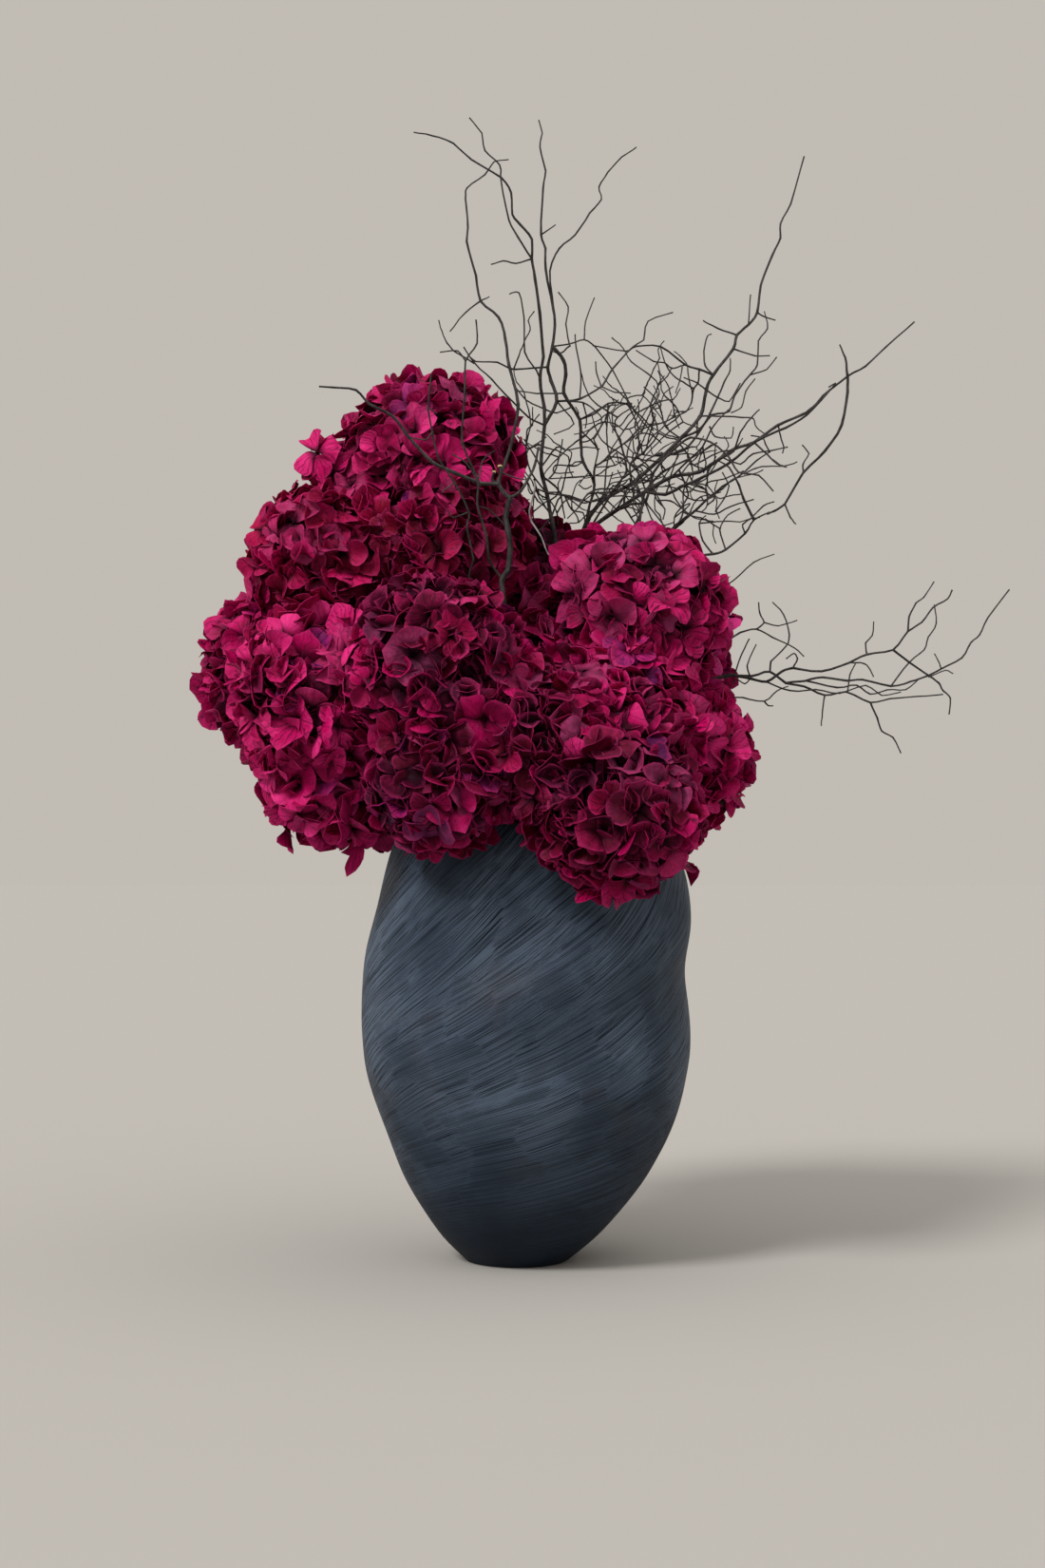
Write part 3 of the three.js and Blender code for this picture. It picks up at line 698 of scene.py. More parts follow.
@dataclass(frozen=True)
class Bark(Finish):
    """Twig bark, dried on the branch: dull, finely wrinkled lengthways, with paler worn spots."""

    dark: str = "#161415"
    worn: str = "#474344"
    wrinkle: float = 1.2
    stretch: float = 4.0
    spot: float = 14.0
    relief: float = 0.3

    def shade(self, tree: bpy.types.NodeTree) -> bpy.types.Node:
        """Adds the bark's nodes.

        Args:
            tree: The material's node tree.

        Returns:
            The shader at their end.
        """
        place = add_node(tree, "TexCoord", {}, {}).outputs["Object"]
        stretched = add_node(tree, "Mapping", {}, {"Vector": place, "Scale": (1, 1, 1 / self.stretch)})
        wrinkles = add_node(
            tree, "TexNoise", {},
            {"Vector": stretched.outputs[0], "Scale": 1 / (self.wrinkle * MM), "Detail": 3.0},
        )
        spots = add_node(
            tree, "TexNoise", {}, {"Vector": place, "Scale": 1 / (self.spot * MM), "Detail": 2.0}
        )
        mixed = add_node(tree, "Math", TIMES, {0: wrinkles.outputs["Fac"], 1: spots.outputs["Fac"]})
        tone = add_node(tree, "ValToRGB", {}, {"Fac": mixed.outputs[0]})
        set_stops(tone, [(0.15, self.dark), (0.42, self.worn)])
        bump = add_node(tree, "Bump", {}, {"Height": wrinkles.outputs["Fac"], "Distance": self.relief * MM})
        return add_node(
            tree, "BsdfPrincipled", {},
            {"Base Color": tone.outputs["Color"], "Roughness": 0.7, "Normal": bump.outputs["Normal"],
             "Specular IOR Level": 0.3},
        )


@dataclass(frozen=True)
class PlainBoard(Finish):
    """A painted board, only to stand the arrangement on: pale and matte."""

    colour: str = "#a8a7a5"

    def shade(self, tree: bpy.types.NodeTree) -> bpy.types.Node:
        """Adds the board's nodes.

        Args:
            tree: The material's node tree.

        Returns:
            The shader at their end.
        """
        return add_node(
            tree, "BsdfPrincipled", {},
            {"Base Color": linear(self.colour), "Roughness": 0.9, "Specular IOR Level": 0.0},
        )


STONEWARE = RakedSlip("raked_slip_stoneware", "stoneware")
FOAM = FloralFoam("dry_floral_foam", "foam")
SEPALS = PreservedSepal("preserved_hydrangea_sepals", "sepals")
CORE = FlowerCore("painted_shade_flower_stalks", "sepals")
STALK = Bark("dried_flower_stem", "stalk", dark="#2c2a1c", worn="#5d5640")
BARK = Bark("dark_willow_bark", "bark")
CUT_WOOD = Bark("fresh_cut_willow", "bark", dark="#a8966a", worn="#d8c999")
PEELED = Bark("peeled_willow_shoot", "bark", dark="#6b6568", worn="#a39da0")


# ---- Vase ----


@dataclass
class Vase:
    """The tall hand-built vase, its wall drawn up level by level and then pressed into slanted folds."""

    around: int = 168
    outer_steps: int = 84
    lip_steps: int = 6
    inner_steps: int = 30
    # The foot's rounded edge: (radius, height) of each ring
    foot_edge: tuple[tuple[float, float], ...] = ((42.6, 0.0), (43.9, 0.3), (46.0, 1.5))
    # The folds: their lift, how they climb, where they are strongest and where they begin above the foot
    fold_depth: float = 3.0
    fold_least: float = 0.35
    fold_swell: float = 0.325
    fold_rise: float = 112.0
    fold_starts: int = 3
    fold_crest: float = 316.0
    fold_strongest: float = -0.96
    fold_begins: tuple[float, float] = (70.0, 190.0)
    unevenness: float = 0.5
    uneven_size: float = 32.0
    uneven_begins: tuple[float, float] = (2.0, 40.0)
    touch_squash: float = 1.4
    crease: float = 50.0
    # Where a hand has pressed or eased the clay: (angle in degrees, height, breadth, lift)
    touches: tuple[tuple[float, float, float, float], ...] = (
        (-103, 262, 34, -2.4), (-74, 276, 30, 2.0), (-128, 305, 36, 1.6), (-62, 205, 42, -1.6),
        (-110, 190, 40, 1.4), (-88, 120, 46, -1.2), (-40, 150, 40, 1.2), (-150, 210, 44, -1.8),
        (60, 240, 46, 1.8), (110, 180, 42, -2.0), (150, 290, 38, 1.6), (20, 110, 44, -1.4),
    )

    def fold(self, angle: float, height: float) -> float:
        """Works out how far the folds lift the side.

        Args:
            angle: The angle round the vase, in radians.
            height: The height.

        Returns:
            The lift, which may be below 0.
        """
        strength = self.fold_least + self.fold_swell * (1 + math.cos(angle - self.fold_strongest))
        wave = math.cos(2 * math.pi * (height - self.fold_crest) / self.fold_rise - self.fold_starts * angle)
        return self.fold_depth * strength * smooth_step(height, *self.fold_begins) * wave

    def radius(self, angle: float, height: float) -> float:
        """Returns the vase's outer radius at that angle and height."""
        return along(VASE_OUTLINE, height) + self.fold(angle, height)

    def wall_at(self, height: float) -> float:
        """Returns the wall's width on the level, which is more where the side slopes."""
        slope = along(VASE_OUTLINE, height + 1) - along(VASE_OUTLINE, height)
        return WALL * math.hypot(1, slope)

    def levels(self) -> list[tuple[float, float, float]]:
        """Lists the rings that the wall is drawn up through.

        Returns:
            Each ring's (height to read the lean at, radius, height), up the outside and down the inside.
        """
        rings = [(height, radius, height) for radius, height in self.foot_edge]
        foot = rings[-1][2]
        for step in range(1, self.outer_steps + 1):
            height = foot + (RIM - LIP - foot) * step / self.outer_steps
            rings.append((height, along(VASE_OUTLINE, height), height))
        top, edge = RIM - LIP, along(VASE_OUTLINE, RIM - LIP)
        for step in range(1, self.lip_steps + 1):
            turned = math.radians(180 * step / self.lip_steps)
            out = edge - LIP + LIP * math.cos(turned)
            rings.append((top, out, top + LIP * math.sin(turned)))
        for step in range(1, self.inner_steps + 1):
            height = top + (FLOOR - top) * step / self.inner_steps
            rings.append((height, along(VASE_OUTLINE, height) - self.wall_at(height), height))
        return rings

    def build(self) -> bpy.types.Object:
        """Draws the wall up from a disc, closes its floor and folds it.

        Returns:
            The vase.
        """
        rings = self.levels()
        first = rings[0]
        radius = first[1]
        deselect()
        bpy.ops.mesh.primitive_circle_add(vertices=self.around, radius=radius * MM, fill_type="NGON")
        vase = bpy.context.object
        bpy.ops.object.mode_set(mode="EDIT")
        for before, (level, wide, high) in zip(rings, rings[1:]):
            was_level, was_wide, was_high = before
            lean = along(VASE_LEAN, level) - along(VASE_LEAN, was_level)
            rise = {"value": (lean * MM, 0, (high - was_high) * MM)}
            if before is first:
                bpy.ops.mesh.extrude_region_move(TRANSFORM_OT_translate=rise)
            else:
                bpy.ops.mesh.extrude_edges_move(TRANSFORM_OT_translate=rise)
            share = wide / was_wide
            centre = (along(VASE_LEAN, level) * MM, 0, high * MM)
            bpy.ops.transform.resize(value=(share, share, 1), center_override=centre)
            if before is first:
                # The disc stays as the foot's face, and only its raised edge is drawn on.
                bpy.ops.mesh.delete(type="ONLY_FACE")
                bpy.ops.mesh.select_all(action="DESELECT")
                bpy.ops.object.mode_set(mode="OBJECT")
                self.select_level(vase, high)
                bpy.ops.object.mode_set(mode="EDIT")
        bpy.ops.mesh.edge_face_add()
        bpy.ops.mesh.select_all(action="SELECT")
        bpy.ops.mesh.normals_make_consistent(inside=False)
        bpy.ops.object.mode_set(mode="OBJECT")
        self.press_folds(vase)
        vase.name = "stoneware_vase"
        smooth_below(vase, self.crease)
        return mount(vase, STONEWARE, ["vase"])

    def select_level(self, vase: bpy.types.Object, height: float) -> None:
        """Selects the ring of vertices at a height.

        Args:
            vase: The vase, as far as it is drawn.
            height: The height.
        """
        for vertex in vase.data.vertices:
            vertex.select = abs(vertex.co.z - height * MM) < NEAR * MM
        for edge in vase.data.edges:
            edge.select = all(vase.data.vertices[v].select for v in edge.vertices)

    def press_folds(self, vase: bpy.types.Object) -> None:
        """Lifts and sinks the side into its folds, and roughens its roundness a little, as by hand.

        Args:
            vase: The vase, whole and round.
        """
        for vertex in vase.data.vertices:
            height = vertex.co.z / MM
            lean = along(VASE_LEAN, height)
            x, y = vertex.co.x / MM - lean, vertex.co.y / MM
            angle = math.atan2(y, x)
            touch = self.unevenness * smooth_step(height, *self.uneven_begins)
            touch *= noise.noise(vertex.co / (self.uneven_size * MM))
            for at, level, breadth, press in self.touches:
                across = (angle - math.radians(at) + math.pi) % (2 * math.pi) - math.pi
                above = self.touch_squash * (height - level)
                apart = math.hypot(across * math.hypot(x, y), above) / breadth
                touch += press * math.exp(-apart * apart)
            lift = self.fold(angle, height) + touch
            vertex.co.x += lift * math.cos(angle) * MM
            vertex.co.y += lift * math.sin(angle) * MM


# ---- Branches ----

# A limb is (radius at its root, radius at its tip, depth gained per mm, waypoints). A waypoint
# (x, z) stands against the upright plane through the vase's foot, seen from EYE; a third number
# sets its depth behind that plane. A limb that starts on an earlier one grows from it.
Limb = tuple[float, float, float, list[tuple[float, ...]]]

FRONT: list[Limb] = [
    (2.8, 2.6, 0, [(9, 300, -14), (7, 372, -22), (0, 480, -58), (-12, 575, -96), (-13, 596, -98),
                   (-8, 604, -99), (-6, 622, -100), (-8, 640, -100), (-10, 652, -100), (-6, 667, -100)]),
    (2.4, 0.8, -0.1, [(-6, 667), (-12, 672), (-17, 679), (-32, 680), (-56, 690), (-75, 699), (-97, 723),
                      (-109, 739), (-130, 750), (-141, 762), (-162, 764), (-174, 765)]),
    (2.2, 1.5, 0, [(-17, 679), (-14, 690), (-15, 695)]),
    (1.5, 1.2, 0, [(-17, 679), (-22, 683), (-20, 690)]),
    (1.6, 0.6, 0.12, [(-14, 690), (-10, 699), (-5, 716), (1, 749), (-7, 783), (-10, 806), (-16, 826),
                      (-32, 840), (-36, 862), (-44, 892), (-43, 904), (-45, 930), (-44, 939), (-28, 951),
                      (-20, 962), (-7, 964)]),
    (0.9, 0.6, -0.3, [(-32, 840), (-46, 829), (-59, 813)]),
    (1.7, 1, 0.25, [(-6, 667), (3, 673), (9, 682), (16, 697), (19, 712)]),
    (1.3, 0.7, -0.2, [(-13, 596), (-24, 612), (-27, 635), (-35, 662), (-34, 682), (-48, 716), (-46, 755),
                      (-45, 787), (-35, 803), (-36, 824)]),
    (0.8, 0.6, 0.1, [(-45, 787), (-52, 796), (-68, 795)]),
    (0.8, 0.6, 0.4, [(-34, 682), (-30, 700), (-19, 709)]),
    (1.2, 0.7, -0.25, [(-12, 575), (-30, 586), (-42, 598), (-38, 614), (-44, 640), (-42, 655),
                       (-55, 681), (-69, 702), (-74, 725), (-78, 746), (-75, 777)]),
    (0.8, 0.6, -0.2, [(-42, 655), (-56, 650), (-61, 657)]),
    (0.8, 0.6, -0.3, [(-8, 640), (-17, 650), (-25, 657), (-34, 660)]),
    (0.8, 0.6, 0.3, [(-32, 840), (-24, 844)]),
    (0.8, 0.6, -0.2, [(-34, 682), (-45, 698), (-57, 706)]),
    (0.8, 0.6, 0, [(-55, 681), (-66, 672)]),
    (0.8, 0.6, -0.2, [(-74, 725), (-80, 718), (-95, 721)]),
    (0.7, 0.6, 0, [(-78, 746), (-70, 741)]),
    (0.8, 0.6, -0.2, [(-14, 690), (-2, 685), (8, 683)]),
]
TALL: list[Limb] = [
    (2.8, 2.2, 0, [(22, 300, 6), (24, 372, 4), (34, 480, 2), (38, 580, -4), (33, 630, -8), (30, 650, -9)]),
    (1.9, 0.6, -0.05, [(30, 650), (26, 672), (21, 694), (24, 731), (24, 745), (20, 772), (23, 791),
                       (20, 829), (16, 860), (13, 877), (13, 894), (3, 907), (-4, 916), (-5, 935),
                       (-14, 948), (-40, 964), (-56, 978), (-74, 985), (-91, 988)]),
    (1.7, 0.6, 0.08, [(24, 731), (35, 752), (30, 770), (27, 782), (31, 800), (33, 818), (32, 833),
                      (25, 868), (25, 886), (21, 898), (23, 939), (25, 954), (20, 975), (22, 987),
                      (19, 999)]),
    (0.9, 0.6, -0.12, [(13, 877), (1, 896), (-7, 911), (-14, 945), (-15, 959), (-28, 972), (-31, 987),
                       (-42, 1001)]),
    (0.9, 0.6, 0.3, [(32, 833), (29, 866), (37, 886), (51, 898), (64, 917), (74, 929), (72, 940),
                     (80, 953), (92, 966), (105, 975)]),
    (0.8, 0.6, 0.3, [(21, 898), (34, 907)]),
    (0.8, 0.6, -0.3, [(13, 877), (-1, 873), (-12, 875), (-23, 872)]),
    (0.8, 0.6, -0.3, [(20, 772), (17, 779), (7, 795), (6, 825), (2, 847), (-7, 846)]),
    (1.7, 1.1, 0.15, [(31, 800), (41, 788), (43, 775), (41, 759), (55, 736), (56, 716), (58, 699),
                      (68, 679), (62, 654), (60, 632)]),
    (0.9, 0.6, -0.25, [(27, 782), (-3, 780), (-17, 786), (-36, 787), (-43, 793)]),
    (0.9, 0.6, -0.3, [(24, 731), (10, 738), (-10, 758), (-22, 771), (-37, 785), (-47, 800)]),
    (0.8, 0.6, 0.4, [(41, 759), (17, 759), (0, 761)]),
    (1.1, 0.6, 0.35, [(35, 752), (55, 754), (75, 766), (84, 781), (102, 800), (111, 806), (115, 822),
                      (137, 830)]),
    (0.8, 0.6, 0.3, [(55, 754), (56, 777), (52, 800), (51, 811)]),
    (0.8, 0.6, 0.45, [(31, 800), (46, 802), (59, 806), (69, 799), (84, 779), (97, 754)]),
    (0.7, 0.6, 0.3, [(59, 806), (60, 822), (68, 843)]),
    (0.9, 0.6, 0.5, [(55, 736), (68, 741), (80, 750), (95, 750), (110, 738), (120, 726)]),
    (0.8, 0.6, -0.3, [(21, 694), (35, 712), (43, 709), (60, 712), (73, 710)]),
    (0.8, 0.6, -0.4, [(58, 699), (50, 695), (34, 696), (33, 689), (50, 690)]),
    (0.8, 0.6, -0.5, [(26, 672), (12, 690), (8, 710), (12, 730), (20, 741)]),
    (0.9, 0.6, 0.5, [(30, 650), (40, 670), (62, 664), (76, 668), (84, 690)]),
    (0.7, 0.6, 0.2, [(46, 802), (43, 820), (45, 835), (36, 848)]),
    (0.7, 0.6, -0.6, [(30, 650), (18, 638), (14, 655), (16, 680)]),
    (0.7, 0.6, -0.5, [(68, 679), (64, 690), (55, 680)]),
    (0.7, 0.6, 0.3, [(35, 752), (50, 732), (32, 723)]),
    (0.8, 0.6, -0.15, [(96, 755), (104, 743), (111, 733), (121, 722)]),
    (0.8, 0.6, 0.45, [(47, 801), (38, 794), (31, 796)]),
    (0.8, 0.6, -0.15, [(44, 752), (58, 751), (67, 745), (74, 738), (73, 728), (67, 718)]),
    (0.8, 0.6, 0.45, [(56, 721), (60, 722), (67, 730), (77, 734), (86, 732), (94, 726)]),
    (0.8, 0.6, 0.25, [(96, 751), (101, 742), (106, 730), (107, 713), (104, 703)]),
    (0.8, 0.6, -0.15, [(80, 749), (79, 730), (79, 715), (82, 703), (86, 696)]),
    (0.8, 0.6, 0.45, [(28, 684), (33, 690), (37, 703), (40, 719)]),
    (0.8, 0.6, -0.35, [(68, 678), (68, 694), (71, 709), (67, 719)]),
    (1.1, 0.6, 0.25, [(68, 678), (68, 694), (75, 699), (83, 707), (94, 715), (106, 727), (111, 736)]),
    (0.7, 0.6, -0.35, [(74, 765), (86, 760), (100, 759)]),
    (0.7, 0.6, 0.25, [(74, 765), (70, 776), (69, 787)]),
    (0.8, 0.6, 0.25, [(18, 675), (29, 671), (44, 669), (52, 665), (60, 663), (73, 667), (92, 669),
                     (104, 667), (112, 660)]),
    (1.0, 0.6, 0.45, [(25, 684), (33, 678), (38, 671), (40, 661), (42, 649)]),
    (0.7, 0.6, -0.35, [(54, 679), (60, 675), (66, 678)]),
    (0.8, 0.6, 0.25, [(42, 669), (48, 657), (58, 654), (60, 643)]),
    (0.8, 0.6, -0.15, [(69, 671), (77, 659), (86, 650), (94, 645)]),
    (0.8, 0.6, 0.45, [(25, 683), (21, 694), (16, 703), (6, 719)]),
    (0.7, 0.6, -0.35, [(10, 710), (0, 722)]),
    (0.8, 0.6, 0.25, [(8, 703), (10, 710), (18, 715), (26, 721)]),
    (0.8, 0.6, -0.35, [(48, 747), (35, 742), (25, 745), (8, 753), (-4, 768)]),
    (0.7, 0.6, 0.25, [(60, 686), (44, 685), (29, 684)]),
    (0.8, 0.6, -0.15, [(31, 650), (25, 659), (18, 665), (14, 673)]),
    (0.8, 0.6, 0.45, [(15, 684), (19, 671), (29, 665), (35, 654), (36, 642)]),
    (0.7, 0.6, -0.35, [(63, 654), (54, 646), (46, 645)]),
]
SWEEP_HIGH: list[Limb] = [
    (2.8, 2.2, 0, [(36, 300, 20), (38, 372, 20), (48, 480, 22), (52, 580, 20), (54, 625, 20), (63, 650, 22)]),
    (2, 0.7, 0.25, [(63, 650), (76, 666), (101, 680), (128, 704), (143, 719), (161, 739), (166, 762),
                    (172, 775), (190, 798), (193, 810), (203, 819), (211, 830), (214, 854), (224, 880),
                    (231, 895), (231, 908), (240, 925), (252, 967)]),
    (0.8, 0.6, 0.3, [(211, 830), (217, 826), (227, 823)]),
    (0.9, 0.6, -0.2, [(193, 810), (176, 816), (163, 823)]),
    (0.8, 0.6, 0.4, [(190, 798), (209, 792), (222, 792)]),
    (0.7, 0.6, -0.2, [(203, 819), (205, 846)]),
    (1.3, 0.6, 0.35, [(128, 704), (146, 709), (158, 722), (171, 744), (182, 769), (187, 779), (187, 790)]),
    (1.2, 0.6, 0.5, [(143, 719), (160, 727), (171, 740), (186, 743), (191, 757), (204, 775), (211, 784),
                     (212, 805), (220, 816), (217, 831)]),
    (1.1, 0.6, -0.3, [(172, 775), (160, 780), (148, 784), (126, 800), (105, 800), (96, 796), (66, 801)]),
    (0.8, 0.6, -0.1, [(148, 784), (136, 781), (129, 786), (120, 787), (104, 797)]),
    (0.9, 0.6, 0.3, [(172, 775), (165, 783), (164, 796), (167, 809), (171, 811)]),
    (0.9, 0.6, 0.45, [(101, 680), (99, 697), (110, 706), (124, 724), (117, 748), (124, 766), (115, 776),
                      (100, 787), (93, 799), (83, 808)]),
    (0.8, 0.6, 0.5, [(76, 666), (80, 703), (94, 727), (104, 741), (96, 754), (110, 757), (121, 745),
                     (133, 728)]),
    (0.9, 0.6, -0.2, [(161, 739), (175, 739), (197, 738), (207, 737), (210, 729), (218, 723)]),
    (0.8, 0.6, 0.4, [(166, 762), (175, 756), (186, 752), (196, 768)]),
    (0.8, 0.6, 0.3, [(204, 775), (219, 780), (228, 791)]),
    (0.8, 0.6, -0.3, [(166, 762), (158, 768), (146, 773)]),
    (0.7, 0.6, 0.4, [(124, 766), (132, 774), (136, 782)]),
    (0.7, 0.6, -0.35, [(145, 782), (143, 770), (139, 759)]),
    (0.9, 0.6, 0.25, [(160, 780), (159, 768), (155, 763), (153, 751), (148, 743), (138, 738),
                     (127, 733), (106, 727)]),
    (0.8, 0.6, -0.35, [(101, 750), (92, 749), (84, 742), (84, 730), (84, 724)]),
    (0.8, 0.6, 0.45, [(134, 709), (123, 704), (111, 705), (102, 707), (94, 715)]),
    (0.8, 0.6, -0.15, [(144, 719), (130, 730), (127, 742), (121, 755), (111, 765)]),
    (0.7, 0.6, 0.45, [(161, 728), (146, 734), (142, 742), (137, 745)]),
    (1.1, 0.6, -0.35, [(96, 675), (107, 673), (115, 661), (127, 646), (135, 633)]),
    (1.2, 0.6, 0.25, [(95, 674), (94, 661), (100, 650), (108, 638)]),
    (0.7, 0.6, 0.45, [(188, 742), (197, 747), (201, 761), (209, 772)]),
]
SWEEP_LONG: list[Limb] = [
    (2.8, 2.2, 0, [(38, 300, -12), (40, 372, -14), (50, 480, -22), (46, 580, -34), (48, 612, -36),
                   (64, 640, -38)]),
    (2, 0.7, -0.12, [(64, 640), (80, 652), (113, 673), (136, 686), (160, 690), (180, 703), (190, 710),
                     (208, 716), (229, 731), (250, 740), (260, 747), (269, 757), (290, 774), (306, 783),
                     (323, 799), (349, 822)]),
    (1.6, 0.7, -0.3, [(113, 673), (130, 670), (144, 677), (160, 684), (185, 697), (210, 717),
                      (236, 729), (254, 740), (272, 759), (280, 768)]),
    (1.2, 0.6, 0.2, [(290, 774), (288, 790), (283, 802)]),
    (1.4, 0.8, -0.1, [(290, 774), (290, 760), (285, 731), (270, 708), (251, 689), (235, 662), (226, 656),
                      (219, 653)]),
    (0.8, 0.6, -0.2, [(235, 662), (240, 650), (245, 644)]),
    (0.8, 0.6, 0.3, [(251, 689), (251, 697), (256, 706), (250, 714)]),
    (0.9, 0.6, -0.5, [(208, 716), (220, 705), (228, 697), (237, 694)]),
    (1, 0.6, -0.5, [(160, 690), (175, 700), (190, 708), (196, 725), (205, 737), (213, 745)]),
    (1.3, 0.7, -0.4, [(80, 652), (100, 662), (113, 664), (120, 690), (140, 712), (152, 720), (170, 716),
                      (186, 703), (194, 690), (212, 687), (225, 673)]),
    (0.9, 0.6, -0.6, [(136, 686), (150, 700), (163, 712), (172, 730), (186, 745)]),
    (0.8, 0.6, -0.3, [(180, 703), (196, 697), (207, 706), (224, 709), (238, 712)]),
    (1, 0.6, -0.4, [(64, 640), (86, 676), (96, 690), (92, 712), (86, 728), (88, 738), (104, 748)]),
    (0.8, 0.6, 0.2, [(113, 673), (106, 690), (96, 702), (102, 722), (112, 731), (128, 733)]),
    (0.8, 0.6, 0.4, [(229, 731), (231, 722), (234, 712), (233, 706)]),
    (0.7, 0.6, 0.3, [(280, 768), (273, 764)]),
    (0.7, 0.6, 0.25, [(224, 701), (234, 695), (246, 699)]),
    (0.7, 0.6, -0.15, [(199, 688), (209, 693), (218, 695), (236, 695)]),
    (1.0, 0.6, -0.15, [(112, 666), (109, 654), (108, 639)]),
    (1.0, 0.6, 0.45, [(142, 692), (148, 678), (150, 669), (144, 659), (138, 650), (138, 633)]),
    (0.9, 0.6, -0.15, [(86, 675), (73, 675), (62, 671), (54, 659), (44, 649)]),
    (0.7, 0.6, -0.15, [(153, 680), (167, 678), (176, 667), (186, 669), (198, 671)]),
    (0.7, 0.6, 0.25, [(79, 665), (88, 657), (98, 659), (111, 654)]),
    (0.7, 0.6, -0.15, [(119, 675), (123, 665), (130, 657), (128, 648)]),
    (0.7, 0.6, 0.45, [(130, 678), (142, 675), (150, 667), (163, 665), (174, 669)]),
    (0.8, 0.6, -0.35, [(111, 680), (119, 688), (111, 696), (104, 692)]),
    (0.8, 0.6, 0.25, [(142, 715), (150, 705), (155, 696), (169, 692)]),
    (0.8, 0.6, -0.15, [(169, 730), (174, 721), (188, 720), (190, 730)]),
    (0.7, 0.6, 0.25, [(150, 690), (155, 680), (165, 675), (167, 661), (161, 654)]),
    (0.7, 0.6, -0.15, [(81, 671), (88, 675), (92, 684), (88, 692)]),
    (0.8, 0.6, 0.45, [(104, 719), (109, 724), (119, 722), (127, 715)]),
]
SWEEP_LOW: list[Limb] = [
    (2.6, 2, 0, [(54, 300, 8), (56, 372, 8), (66, 480, 12), (74, 570, 18), (90, 618, 24)]),
    (1.6, 0.7, -0.1, [(90, 618), (120, 624), (150, 617), (172, 618), (183, 622), (200, 636),
                      (208, 648), (222, 655)]),
    (1.3, 0.6, -0.3, [(208, 648), (199, 666), (195, 678), (186, 694), (176, 700)]),
    (1.5, 0.7, -0.2, [(90, 618), (108, 652), (112, 672), (128, 690), (152, 702), (176, 716)]),
    (1.4, 0.6, -0.35, [(120, 624), (140, 642), (156, 656), (168, 667), (180, 677), (196, 687),
                       (210, 700), (222, 708)]),
    (0.9, 0.6, -0.5, [(156, 656), (173, 653), (188, 660), (208, 666)]),
    (0.9, 0.6, 0.3, [(140, 642), (146, 655), (146, 672), (152, 690)]),
    (0.8, 0.6, 0.4, [(168, 667), (166, 680), (182, 684), (199, 691)]),
    (0.9, 0.6, 0.4, [(172, 618), (163, 630), (160, 645), (166, 652)]),
    (0.9, 0.6, -0.2, [(90, 618), (112, 640), (133, 632)]),
    (0.8, 0.6, 0.4, [(183, 622), (178, 640), (185, 652), (196, 658)]),
    (0.8, 0.6, -0.5, [(200, 636), (198, 644), (205, 649), (216, 660), (226, 664)]),
    (0.9, 0.6, 0.3, [(150, 617), (166, 604), (180, 591), (190, 595), (208, 611), (226, 618)]),
    (0.8, 0.6, -0.15, [(130, 692), (123, 699), (113, 700), (104, 702), (96, 703), (86, 696),
                     (68, 694)]),
    (0.7, 0.6, -0.35, [(222, 707), (218, 715), (215, 720), (205, 722)]),
    (0.7, 0.6, 0.45, [(165, 649), (172, 644), (179, 640)]),
    (0.7, 0.6, -0.35, [(108, 646), (123, 642), (138, 646)]),
    (0.7, 0.6, 0.45, [(171, 669), (180, 675), (190, 684), (207, 688), (216, 692)]),
    (0.7, 0.6, -0.35, [(174, 655), (182, 667), (186, 678), (180, 690)]),
]
